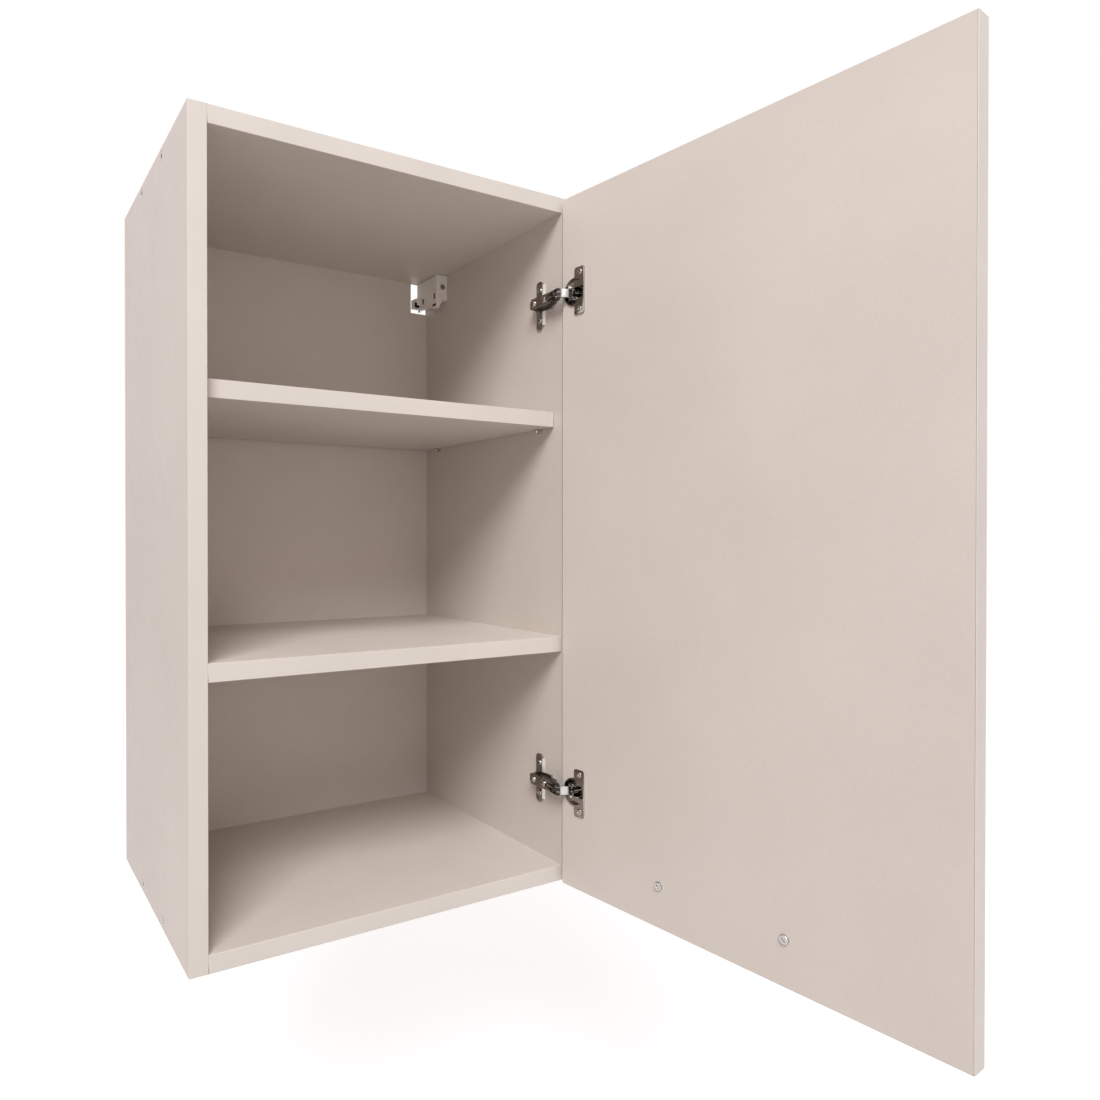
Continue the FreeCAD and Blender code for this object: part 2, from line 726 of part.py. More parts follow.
back_half = inner_right + back_rebate - back_play
back = box(-back_half, back_half, back_inner, 0, bottom, top)
notch = box(bracket_left - foot_width - notch_play, inner_right, back_inner, 0,
            inner_top - notch_from_top, inner_top)
back = back.cut(notch).cut(to_left(notch))

nail_places = []
for side in (-1, 1):
    for n in range(nails_up_side):
        z = bottom + nail_from_corner + n * (cabinet_height - 2 * nail_from_corner) / (nails_up_side - 1)
        nail_places.append(V(side * (inner_right + back_rebate / 2), 0, z))
    for n in range(nails_across):
        x = left + nail_from_corner + n * (cabinet_width - 2 * nail_from_corner) / (nails_across - 1)
        nail_places.append(V(x, 0, side * (top - board / 2)))
nails, nail_holes = [], []
for place in nail_places:
    head = rod(place, into_door, nail_head_r, nail_head)
    nails.append(head.fuse(rod(place, into_door, nail_r, nail_length)))
    bored = rod(place, into_door, nail_head_r + fit, nail_head)
    nail_holes.append(bored.fuse(rod(place, into_door, nail_r + fit, nail_length)))


def nailed(shape):
    """Board with the nail holes that meet it."""
    for hole in nail_holes:
        if hole.BoundBox.intersect(shape.BoundBox):
            shape = shape.cut(hole)
    return shape


save("left_side", [nailed(left_side)])
save("right_side", [nailed(right_side)])
save("top_panel", [nailed(level_board(inner_top, board_front, back_inner, 0))])
save("bottom_panel", [nailed(level_board(bottom, board_front, back_inner, 0))])
save("fixed_shelf", [level_board(fixed_shelf_bottom, board_front, back_inner, 0)])
save("adjustable_shelf", [level_board(loose_shelf_bottom, loose_front + edging,
                                      back_inner - loose_shelf_rear_gap, loose_shelf_end_play)])
save("back_panel", [nailed(back)])
save("back_nails", nails)
save("carcass_edge_bands", strips)
save("carcass_screws", confirmats)
save("shelf_dowels", dowels)
save("shelf_pins", shelf_pins)

save("right_hanger_housing", [bracket_housing()])
save("left_hanger_housing", [to_left(bracket_housing())])
save("right_hanger_hook", [bracket_hook()])
save("left_hanger_hook", [to_left(bracket_hook())])
save("hanger_screws", bracket_screws() + [to_left(s) for s in bracket_screws()])

for level, height in hinge_heights.items():
    save("%s_hinge_plate" % level, [lift(hinge_plate(), height)])
    save("%s_hinge_arm" % level, [lift(hinge_arm(), height)])
    save("%s_outer_link" % level, [lift(outer_link(), height)])
    save("%s_inner_link" % level, [lift(inner_link(), height)])
    save("%s_hinge_cup" % level, [swing(lift(hinge_cup(), height))])


def both_hinges(shapes):
    """The same pieces at both hinges."""
    return [lift(s, height) for height in hinge_heights.values() for s in shapes]


save("hinge_plate_screws", both_hinges(plate_screws()))
save("hinge_clamp_screws", both_hinges([arm_screw(clamp_screw_from_front)]))
save("hinge_adjusting_screws", both_hinges([arm_screw(adjusting_screw_from_front)]))
save("hinge_arm_pins", both_hinges(arm_pins()))
save("hinge_cup_pins", [swing(s) for s in both_hinges(cup_pins())])
save("hinge_cup_screws", [swing(s) for s in both_hinges(cup_screws())])

save("door_panel", [swing(door_board())])
save("door_edge_bands", [swing(s) for s in door_edging()])
save("door_handle", [swing(door_handle())])
save("handle_screws", [swing(s) for s in handle_screws()])

for label, point in (("outer arm pivot", outer_arm_pivot), ("outer cup pivot", outer_cup_open),
                     ("inner arm pivot", inner_arm_pivot), ("inner cup pivot", inner_cup_open),
                     ("pole", pole)):
    print("%s %.4f %.4f" % (label, point.x, point.y))
print("shares of the door's turn: outer link %.5f inner link %.5f" % (outer_share, inner_share))
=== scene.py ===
"""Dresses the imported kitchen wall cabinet: softened boards and fittings, finishes, light and camera."""
import logging
import math
from dataclasses import dataclass, field
from enum import Enum
from typing import Callable, ClassVar, Optional, Sequence

import bmesh
import bpy
from mathutils import Matrix, Vector


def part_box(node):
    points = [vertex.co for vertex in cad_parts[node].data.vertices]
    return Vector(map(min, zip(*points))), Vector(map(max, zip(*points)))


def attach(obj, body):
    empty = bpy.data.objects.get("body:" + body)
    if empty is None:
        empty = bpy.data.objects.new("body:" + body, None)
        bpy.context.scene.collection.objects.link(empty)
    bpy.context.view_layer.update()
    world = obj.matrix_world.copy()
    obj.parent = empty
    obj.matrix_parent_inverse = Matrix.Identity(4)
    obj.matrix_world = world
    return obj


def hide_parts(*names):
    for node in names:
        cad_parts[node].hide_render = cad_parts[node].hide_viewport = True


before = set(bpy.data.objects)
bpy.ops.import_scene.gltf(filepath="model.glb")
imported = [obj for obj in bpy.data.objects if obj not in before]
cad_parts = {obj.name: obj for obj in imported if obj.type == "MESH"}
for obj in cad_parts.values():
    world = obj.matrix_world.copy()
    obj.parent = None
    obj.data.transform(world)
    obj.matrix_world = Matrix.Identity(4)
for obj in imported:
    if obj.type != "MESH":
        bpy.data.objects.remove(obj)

Triple = tuple[float, float, float]
Colour = Triple
Span = tuple[float, float]
EdgeRule = Callable[[bmesh.types.BMEdge], float]
FaceTest = Callable[[Vector, Vector], bool]
DriveRule = Callable[[Vector], Vector]

LOG = logging.getLogger("wall_cabinet")
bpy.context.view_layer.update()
MM = 0.001
UP = Vector((0.0, 0.0, 1.0))
RIGHT = Vector((1.0, 0.0, 0.0))
FORWARD = Vector((0.0, -1.0, 0.0))

# The angle that the door stands open at, and the ways along it to its hinges and out of its outer face.
OPENING = math.radians(96.0)
DOOR_ALONG = Vector((math.cos(OPENING), math.sin(OPENING), 0.0))
DOOR_OUT = Vector((math.sin(OPENING), -math.cos(OPENING), 0.0))

# Distance from the middle of the cabinet past which a fitting goes into a side board.
SIDE_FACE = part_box("right_side")[0][0] - 0.5 * MM

# How near points, planes and angles count as the same, and from where an edge counts as sharp.
SAME_POINT = 1e-6
SAME_PLANE = 0.05 * MM
SAME_FACE = math.radians(0.4)
SHARP_FROM = math.radians(32.0)

# Boards: width of a broken edge, shortest edge that is broken, and thickness and rounding of the edging.
BOARD_ARRIS = 0.12 * MM
BOARD_EDGE = 6.0 * MM
STRIP = 0.8 * MM
STRIP_ROUND = 0.45 * MM

WHITE: Colour = (1.0, 1.0, 1.0)
MID_GREYS: Span = (0.3, 0.7)


class Body(Enum):
    """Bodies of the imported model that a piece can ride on."""

    CABINET = "cabinet"
    OUTER_LINKS = "outer_links"
    INNER_LINKS = "inner_links"
    DOOR = "door"


class Slot(Enum):
    """Material slots of the record."""

    LAMINATE = "laminate"
    EDGING = "edging"
    BACK_BOARD = "back_board"
    BEECH = "beech"
    ZINC = "zinc_steel"
    NICKEL = "nickel"
    DARK_NICKEL = "dark_nickel"
    PLASTIC = "bracket_plastic"
    HANDLE = "handle_metal"


class Recess(Enum):
    """What is sunk into a fastener's head."""

    CROSS = "cross"
    HEXAGON = "hexagon"
    PLAIN = "plain"


class NodeBench:
    """Lays out the nodes of one tree."""

    def __init__(self, tree: bpy.types.NodeTree) -> None:
        """Takes up a tree."""
        self.tree = tree

    def node(self, kind: str, inputs: Optional[dict] = None, **settings: object) -> bpy.types.Node:
        """Adds one node.

        Args:
            kind: Blender's name of the node type.
            inputs: Values or output sockets for the node's inputs, by name or number.
            settings: Properties of the node itself.

        Returns:
            The new node.
        """
        made = self.tree.nodes.new(kind)
        for key, value in settings.items():
            setattr(made, key, value)
        for key, value in (inputs or {}).items():
            self.feed(made.inputs[key], value)
        return made

    def feed(self, socket: bpy.types.NodeSocket, value: object) -> None:
        """Sets an input to a value, or links an output socket to it.

        Args:
            socket: The input.
            value: The value or the output socket.
        """
        if isinstance(value, bpy.types.NodeSocket):
            self.tree.links.new(value, socket)
        else:
            socket.default_value = value

    def sum(self, kind: str, a: object, b: object) -> bpy.types.NodeSocket:
        """Result of one sum on two numbers."""
        return self.node("ShaderNodeMath", {0: a, 1: b}, operation=kind).outputs[0]

    def seen(self) -> bpy.types.NodeSocket:
        """Tells what looks at a surface from what is lit by it.

        Returns:
            Socket that is 1 for the camera, shiny metal and glass, and 0 otherwise.
        """
        path = self.node("ShaderNodeLightPath")
        looked_at = path.outputs["Is Camera Ray"]
        for label in ("Is Glossy Ray", "Is Transmission Ray"):
            looked_at = self.sum("MAXIMUM", looked_at, path.outputs[label])
        return looked_at


def shade(colour: Colour, factor: float) -> Colour:
    """A colour made lighter or darker."""
    return tuple(min(1.0, part * factor) for part in colour)


class ShaderBench(NodeBench):
    """Lays out the nodes of one material around its surface shader."""

    def __init__(self, name: str) -> None:
        """Starts a material with only its output and a surface shader.

        Args:
            name: Name of the material.
        """
        self.material = bpy.data.materials.new(name)
        self.material.use_nodes = True
        super().__init__(self.material.node_tree)

    def place(self, stretch: Triple = (1.0, 1.0, 1.0), turn: float = 0.0) -> bpy.types.NodeSocket:
        """Object coordinates, turned about the upright and stretched.

        Args:
            stretch: Factors on the three axes after the turn.
            turn: Angle about +Z in radians.

        Returns:
            The coordinate socket.
        """
        coordinate = self.node("ShaderNodeTexCoord").outputs["Object"]
        if turn:
            turned = self.node("ShaderNodeMapping", {"Vector": coordinate, "Rotation": (0.0, 0.0, turn)})
            coordinate = turned.outputs[0]
        return self.node("ShaderNodeMapping", {"Vector": coordinate, "Scale": stretch}).outputs[0]

    def noise(self, where: bpy.types.NodeSocket, scale: float, detail: float) -> bpy.types.NodeSocket:
        """Grey noise of a number of grains to the metre."""
        inputs = {"Vector": where, "Scale": scale, "Detail": detail}
        return self.node("ShaderNodeTexNoise", inputs).outputs["Fac"]

    def cells(self, where: bpy.types.NodeSocket, scale: float) -> bpy.types.Node:
        """Cell pattern of a number of cells to the metre."""
        return self.node("ShaderNodeTexVoronoi", {"Vector": where, "Scale": scale})

    def cell_grey(self, cells: bpy.types.Node) -> bpy.types.NodeSocket:
        """Random grey of each cell of a pattern."""
        return self.node("ShaderNodeSeparateColor", {"Color": cells.outputs["Color"]}).outputs[0]

    def spread(self, grey: bpy.types.NodeSocket, low: float, high: float,
               span: Span = MID_GREYS) -> bpy.types.NodeSocket:
        """Maps a span of grey to a range of numbers."""
        inputs = {"Value": grey, "From Min": span[0], "From Max": span[1], "To Min": low, "To Max": high}
        return self.node("ShaderNodeMapRange", inputs).outputs["Result"]

    def tint(self, grey: bpy.types.NodeSocket,
             stops: Sequence[tuple[float, Colour]]) -> bpy.types.NodeSocket:
        """Colour ramp over a grey.

        Args:
            grey: The grey to colour.
            stops: Places from 0 to 1 with their colours, in order.

        Returns:
            The colour socket.
        """
        ramp = self.node("ShaderNodeValToRGB", {"Fac": grey})
        elements = ramp.color_ramp.elements
        while len(elements) < len(stops):
            elements.new(0.5)
        for element, (position, colour) in zip(elements, stops):
            element.position = position
            element.color = (*colour, 1.0)
        return ramp.outputs["Color"]

    def cloudy(self, grey: bpy.types.NodeSocket, colour: Colour, dark: float,
               light: float) -> bpy.types.NodeSocket:
        """A colour that runs over a grey from a darker to a lighter shade of itself."""
        shades = (shade(colour, dark), shade(colour, light))
        return self.tint(grey, tuple(zip(MID_GREYS, shades)))

    def layered(self, under: bpy.types.NodeSocket, over: bpy.types.NodeSocket,
                share: float) -> bpy.types.NodeSocket:
        """Multiplies a share of one colour into another one.

        Args:
            under: The colour below.
            over: The colour that is multiplied in.
            share: Share of it from 0 to 1.

        Returns:
            The colour socket.
        """
        mix = self.node("ShaderNodeMix", data_type="RGBA", blend_type="MULTIPLY")
        factor, first, second, result = 0, 6, 7, 2
        for number, value in ((factor, share), (first, under), (second, over)):
            self.feed(mix.inputs[number], value)
        return mix.outputs[result]

    def relief(self, height: bpy.types.NodeSocket, strength: float, depth: float,
               under: Optional[bpy.types.NodeSocket] = None) -> bpy.types.NodeSocket:
        """Bump from a height.

        Args:
            height: Grey taken as height.
            strength: Share of the bump from 0 to 1.
            depth: Depth of the bump in metres.
            under: A bump that this one lies on.

        Returns:
            The normal socket.
        """
        bump = self.node("ShaderNodeBump", {"Height": height, "Strength": strength, "Distance": depth})
        if under:
            self.feed(bump.inputs["Normal"], under)
        return bump.outputs["Normal"]

    def wire(self, **inputs: object) -> bpy.types.Material:
        """Feeds the surface shader.

        Args:
            inputs: Values or output sockets for its inputs, named with underscores.

        Returns:
            The material.
        """
        surface = self.tree.nodes["Principled BSDF"]
        for name, value in inputs.items():
            self.feed(surface.inputs[name.replace("_", " ")], value)
        return self.material


@dataclass(frozen=True)
class Finish:
    """A named surface finish; its material is made once."""

    name: str
    colour: Colour

    def material(self) -> bpy.types.Material:
        """The finish's material."""
        return bpy.data.materials.get(self.name) or self.make()

    def make(self) -> bpy.types.Material:
        """Builds the material."""
        raise NotImplementedError


@dataclass(frozen=True)
class Laminate(Finish):
    """Satin melamine laminate with a fine pearl emboss and a little cloudiness.

    Attributes:
        emboss: Pearls to the metre.
        depth: Depth of the pearls in metres.
        gloss: Least and greatest roughness.
        clouds: Clouds of tone to the metre.
        flecks: Fine specks to the metre.
        haze: Patches of gloss to the metre.
    """

    emboss: float = 750.0
    depth: float = 0.05 * MM
    gloss: Span = (0.42, 0.52)
    clouds: float = 7.0
    flecks: float = 420.0
    haze: float = 60.0

    def make(self) -> bpy.types.Material:
        """Builds the laminate.

        Returns:
            Material with a cloudy tone, a pearl emboss and an uneven satin.
        """
        bench = ShaderBench(self.name)
        where = bench.place()
        tone = bench.cloudy(bench.noise(where, self.clouds, 4.0), self.colour, 0.965, 1.03)
        speckle = bench.noise(where, self.flecks, 2.0)
        fleck = bench.tint(speckle, ((0.35, (0.955, 0.955, 0.955)), (0.6, WHITE)))
        pearls = bench.cells(where, self.emboss).outputs["Distance"]
        waves = bench.noise(where, self.emboss * 0.3, 2.0)
        bumps = bench.relief(pearls, 0.35, self.depth, bench.relief(waves, 0.3, self.depth * 2.0))
        gloss = bench.spread(bench.noise(where, self.haze, 3.0), *self.gloss)
        return bench.wire(Base_Color=bench.layered(tone, fleck, 0.6), Roughness=gloss, Normal=bumps)


@dataclass(frozen=True)
class EdgeStrip(Finish):
    """Edging strip: near the laminate's tone, with fine milling lines along upright edges.

    Attributes:
        clouds: Clouds of tone to the metre.
        lines: Milling lines to the metre.
        depth: Depth of the lines in metres.
        haze: Patches of gloss to the metre.
    """

    clouds: float = 11.0
    lines: float = 780.0
    depth: float = 0.03 * MM
    haze: float = 90.0

    def make(self) -> bpy.types.Material:
        """Builds the strip.

        Returns:
            Material with faint lines, a soft gloss and a slow change of tone.
        """
        bench = ShaderBench(self.name)
        where = bench.place()
        tone = bench.cloudy(bench.noise(where, self.clouds, 3.0), self.colour, 0.97, 1.025)
        grain = bench.noise(bench.place((1.0, 1.0, 0.12)), self.lines, 2.0)
        gloss = bench.spread(bench.noise(where, self.haze, 2.0), 0.36, 0.46)
        return bench.wire(Base_Color=tone, Roughness=gloss, Normal=bench.relief(grain, 0.25, self.depth))


@dataclass(frozen=True)
class RawChipboard(Finish):
    """Sawn chipboard: pressed chips in several browns, rough and open.

    Attributes:
        chips: Chips to the metre.
        crumbs: Grains of the rough surface to the metre.
        depth: Depth of the roughness in metres.
        gap: What the joints between chips leave of the colour.
    """

    chips: float = 420.0
    crumbs: float = 900.0
    depth: float = 0.25 * MM
    gap: Colour = (0.62, 0.55, 0.48)

    def make(self) -> bpy.types.Material:
        """Builds the chipboard.

        Returns:
            Material with chips, their dark joints and a rough relief.
        """
        bench = ShaderBench(self.name)
        where = bench.place((1.0, 1.0, 0.45))
        chips = bench.cells(where, self.chips)
        picked = bench.cell_grey(chips)
        tone = bench.tint(picked, ((0.0, shade(self.colour, 0.62)), (0.4, self.colour),
                                   (1.0, shade(self.colour, 1.3))))
        joints = bench.tint(chips.outputs["Distance"], ((0.25, WHITE), (0.75, self.gap)))
        rough = bench.relief(bench.noise(where, self.crumbs, 4.0), 0.6, self.depth)
        dust = bench.spread(picked, 0.78, 0.95, (0.0, 1.0))
        return bench.wire(Base_Color=bench.layered(tone, joints, 0.8), Roughness=dust, Normal=rough)


@dataclass(frozen=True)
class Fibreboard(Finish):
    """Bare rear face of the back panel: felted brown fibres.

    Attributes:
        fibres: Tufts of fibre to the metre.
        depth: Depth of the felt in metres.
        specks: Specks to the metre.
        speck: What a speck leaves of the colour.
    """

    fibres: float = 160.0
    depth: float = 0.1 * MM
    specks: float = 1300.0
    speck: Colour = (0.72, 0.68, 0.62)

    def make(self) -> bpy.types.Material:
        """Builds the fibreboard.

        Returns:
            Material with matted fibres and dark specks.
        """
        bench = ShaderBench(self.name)
        mat = bench.noise(bench.place((1.0, 1.0, 3.0)), self.fibres, 6.0)
        tone = bench.tint(mat, ((0.25, shade(self.colour, 0.72)), (0.55, self.colour),
                                (0.8, shade(self.colour, 1.22))))
        dots = bench.noise(bench.place(), self.specks, 2.0)
        specks = bench.tint(dots, ((0.3, self.speck), (0.55, WHITE)))
        gloss = bench.spread(mat, 0.72, 0.9)
        return bench.wire(Base_Color=bench.layered(tone, specks, 0.7), Roughness=gloss,
                          Normal=bench.relief(mat, 0.4, self.depth))


@dataclass(frozen=True)
class PlatedMetal(Finish):
    """Plated steel: metallic, with handling haze and, for zinc, a faint crystal spangle.

    Attributes:
        gloss: Least and greatest roughness.
        spangle: Crystals to the metre, or 0 for none.
        dull: What the dullest crystal leaves of the colour.
        haze: Patches of haze to the metre.
        grain: Grains of the plating to the metre.
        depth: Depth of the grain in metres.
    """

    gloss: Span = (0.2, 0.34)
    spangle: float = 0.0
    dull: Colour = (0.82, 0.83, 0.86)
    haze: float = 240.0
    grain: float = 2400.0
    depth: float = 0.02 * MM

    def make(self) -> bpy.types.Material:
        """Builds the plating.

        Returns:
            Material with the plating's tone, haze and fine relief.
        """
        bench = ShaderBench(self.name)
        where = bench.place()
        haze = bench.noise(where, self.haze, 4.0)
        tone = bench.cloudy(haze, self.colour, 0.86, 1.1)
        if self.spangle:
            crystals = bench.cell_grey(bench.cells(where, self.spangle))
            tone = bench.layered(tone, bench.tint(crystals, ((0.0, self.dull), (1.0, WHITE))), 1.0)
        grain = bench.relief(bench.noise(where, self.grain, 2.0), 0.2, self.depth)
        gloss = bench.spread(haze, *self.gloss)
        return bench.wire(Base_Color=tone, Metallic=1.0, Roughness=gloss, Normal=grain)


@dataclass(frozen=True)
class BrushedBar(Finish):
    """Brushed handle metal, its lines running along the bar.

    Attributes:
        lines: Lines to the metre across the bar.
        depth: Depth of the lines in metres.
    """

    lines: float = 3200.0
    depth: float = 0.03 * MM

    def make(self) -> bpy.types.Material:
        """Builds the brushed metal.

        Returns:
            Material with fine lengthwise lines in tone, gloss and relief.
        """
        bench = ShaderBench(self.name)
        lines = bench.noise(bench.place((0.02, 1.0, 1.0), -OPENING), self.lines, 3.0)
        tone = bench.cloudy(lines, self.colour, 0.84, 1.08)
        return bench.wire(Base_Color=tone, Metallic=1.0, Roughness=bench.spread(lines, 0.24, 0.42),
                          Normal=bench.relief(lines, 0.3, self.depth))


@dataclass(frozen=True)
class MouldedNylon(Finish):
    """Moulded nylon: milky, spark-eroded skin with faint flow marks.

    Attributes:
        flow: Flow marks to the metre.
        skin: Grains of the skin to the metre.
        depth: Depth of the grains in metres.
        milk: How far light goes into the nylon, in metres.
    """

    flow: float = 120.0
    skin: float = 2600.0
    depth: float = 0.04 * MM
    milk: float = 4.0 * MM

    def make(self) -> bpy.types.Material:
        """Builds the nylon.

        Returns:
            Material with a milky tone, an eroded skin and flow marks.
        """
        bench = ShaderBench(self.name)
        flow = bench.noise(bench.place((1.0, 0.4, 1.0)), self.flow, 4.0)
        tone = bench.cloudy(flow, self.colour, 0.95, 1.03)
        skin = bench.relief(bench.noise(bench.place(), self.skin, 2.0), 0.35, self.depth)
        bench.wire(Subsurface_Weight=0.08, Subsurface_Scale=self.milk, Subsurface_Radius=(1.0, 0.9, 0.8))
        return bench.wire(Base_Color=tone, Roughness=bench.spread(flow, 0.4, 0.55), Normal=skin)


@dataclass(frozen=True)
class TurnedBeech(Finish):
    """Beech of the dowels: straight grain along the peg with short dark rays.

    Attributes:
        grain: Lines of grain to the metre.
        depth: Depth of the grain in metres.
        rays: Rays to the metre.
        ray: What a ray leaves of the colour.
    """

    grain: float = 900.0
    depth: float = 0.05 * MM
    rays: float = 2200.0
    ray: Colour = (0.7, 0.6, 0.5)

    def make(self) -> bpy.types.Material:
        """Builds the beech.

        Returns:
            Material with straight grain and rays.
        """
        bench = ShaderBench(self.name)
        grain = bench.noise(bench.place((0.06, 1.0, 1.0)), self.grain, 4.0)
        tone = bench.cloudy(grain, self.colour, 0.8, 1.1)
        marks = bench.noise(bench.place((0.3, 1.0, 1.0)), self.rays, 1.0)
        rays = bench.tint(marks, ((0.28, self.ray), (0.4, WHITE)))
        gloss = bench.spread(grain, 0.55, 0.7)
        return bench.wire(Base_Color=bench.layered(tone, rays, 0.6), Roughness=gloss,
                          Normal=bench.relief(grain, 0.3, self.depth))


LAMINATE = Laminate("white_laminate", (0.655, 0.597, 0.542))
INSIDE_FOIL = Laminate("white_foil", (0.725, 0.665, 0.610), emboss=520.0, depth=0.04 * MM, gloss=(0.5, 0.6))
EDGING = EdgeStrip("white_edging", (0.625, 0.584, 0.534))
CHIPBOARD = RawChipboard("raw_chipboard", (0.440, 0.300, 0.170))
FIBREBOARD = Fibreboard("bare_fibreboard", (0.300, 0.190, 0.105))
DARK_NICKEL = PlatedMetal("dark_nickel", (0.150, 0.128, 0.112), gloss=(0.16, 0.28))
NICKEL = PlatedMetal("satin_nickel", (0.520, 0.495, 0.465), gloss=(0.18, 0.3))
# Near-black steel: painted shade on the hinge parts in and under an arm.
PAINTED_SHADE_STEEL = PlatedMetal("painted_shade_steel", (0.050, 0.043, 0.038), gloss=(0.32, 0.46))
# Lighter nickel on the front slope of a hinge plate's wing: a painted reflection.
SLOPE_REFLECTION_NICKEL = PlatedMetal("painted_slope_reflection", (0.740, 0.715, 0.680), gloss=(0.42, 0.52))
CHROME = PlatedMetal("bright_chrome", (0.640, 0.620, 0.590), gloss=(0.07, 0.15))
ZINC = PlatedMetal("zinc_plate", (0.560, 0.545, 0.525), gloss=(0.26, 0.4), spangle=700.0)
HANDLE_METAL = BrushedBar("brushed_handle", (0.560, 0.555, 0.545))
NYLON = MouldedNylon("white_nylon", (0.900, 0.870, 0.830))
# Near-black nylon: painted shade inside the brackets' bores, pockets and the adjusters' tool slots.
PAINTED_HOLLOW_SHADE = MouldedNylon("painted_hollow_shade", (0.022, 0.019, 0.017))
BEECH = TurnedBeech("dowel_beech", (0.520, 0.330, 0.175))


def seated(piece: bpy.types.Object, node: str, body: Body) -> None:
    """Gives a finished piece its place in the model.

    Args:
        piece: The finished piece, at the origin.
        node: CAD node that it stands for.
        body: Body that it rides on.
    """
    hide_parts(node)
    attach(piece, body.value)
    LOG.info("%s: %d faces, on %s", piece.name, len(piece.data.polygons), body.value)


def merged(node: str) -> bmesh.types.BMesh:
    """Copies a node's mesh.

    Args:
        node: CAD node.

    Returns:
        The copy, with its doubles merged and its flat regions joined.
    """
    copy = bmesh.new()
    copy.from_mesh(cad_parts[node].data)
    bmesh.ops.remove_doubles(copy, verts=copy.verts[:], dist=SAME_POINT)
    bmesh.ops.dissolve_limit(copy, angle_limit=SAME_FACE, verts=copy.verts[:], edges=copy.edges[:])
    return copy


def islands(node: str) -> list[list[Vector]]:
    """Finds the separate solids of a node.

    Args:
        node: CAD node.

    Returns:
        Corner points of each solid, sorted by their sums of Z, then Y, then X.
    """
    copy = merged(node)
    left = set(copy.verts)
    groups = []
    while left:
        stack = [left.pop()]
        group = []
        while stack:
            vert = stack.pop()
            group.append(vert.co.copy())
            for edge in vert.link_edges:
                other = edge.other_vert(vert)
                if other in left:
                    left.remove(other)
                    stack.append(other)
        groups.append(group)
    copy.free()
    return sorted(groups, key=lambda points: tuple(round(sum(p[k] for p in points), 5) for k in (2, 1, 0)))


def span_along(points: Sequence[Vector], way: Vector) -> Span:
    """Least and greatest place of points along a direction."""
    places = [point.dot(way) for point in points]
    return min(places), max(places)


def baked(source: bpy.types.Object, name: str) -> bpy.types.Object:
    """Turns an object with live modifiers into a plain mesh object.

    Args:
        source: Object whose modifiers are evaluated; it is removed.
        name: Name of the plain object.

    Returns:
        The plain object, linked to the scene.
    """
    graph = bpy.context.evaluated_depsgraph_get()
    mesh = bpy.data.meshes.new_from_object(source.evaluated_get(graph), depsgraph=graph)
    bpy.data.objects.remove(source, do_unlink=True)
    mesh.name = name
    return linked(name, mesh)


def linked(name: str, data: bpy.types.ID) -> bpy.types.Object:
    """Puts a mesh, a light or a camera into the scene.

    Args:
        name: Name of the new object.
        data: What it shows.

    Returns:
        The new object.
    """
    made = bpy.data.objects.new(name, data)
    bpy.context.scene.collection.objects.link(made)
    return made


def long_edges(shortest: float) -> EdgeRule:
    """Rule that rounds only edges of at least a length."""
    return lambda edge: 1.0 if edge.calc_length() >= shortest else 0.0


def proud_edges(shortest: float, before: float = math.inf) -> EdgeRule:
    """Rule that rounds only outward corners that stand clear of a board.

    Args:
        shortest: Least length of an edge in metres.
        before: Place on +X of the board's face, in metres.

    Returns:
        The rule.
    """
    def rule(edge: bmesh.types.BMEdge) -> float:
        """Full rounding for such an edge, none for others."""
        clear = max(vert.co.x for vert in edge.verts) < before
        return 1.0 if clear and edge.is_convex and edge.calc_length() >= shortest else 0.0
    return rule


def tip_edges(before: float) -> EdgeRule:
    """Rule that rounds only the free ends of pins that stand out of the side boards.

    Args:
        before: Greatest distance of such an end from the middle of the cabinet, in metres.

    Returns:
        The rule.
    """
    def rule(edge: bmesh.types.BMEdge) -> float:
        """Full rounding for an edge of an end face, none for others."""
        start, end = (vert.co for vert in edge.verts)
        return 1.0 if abs(start.x - end.x) < SAME_PLANE and abs(start.x) < before else 0.0
    return rule


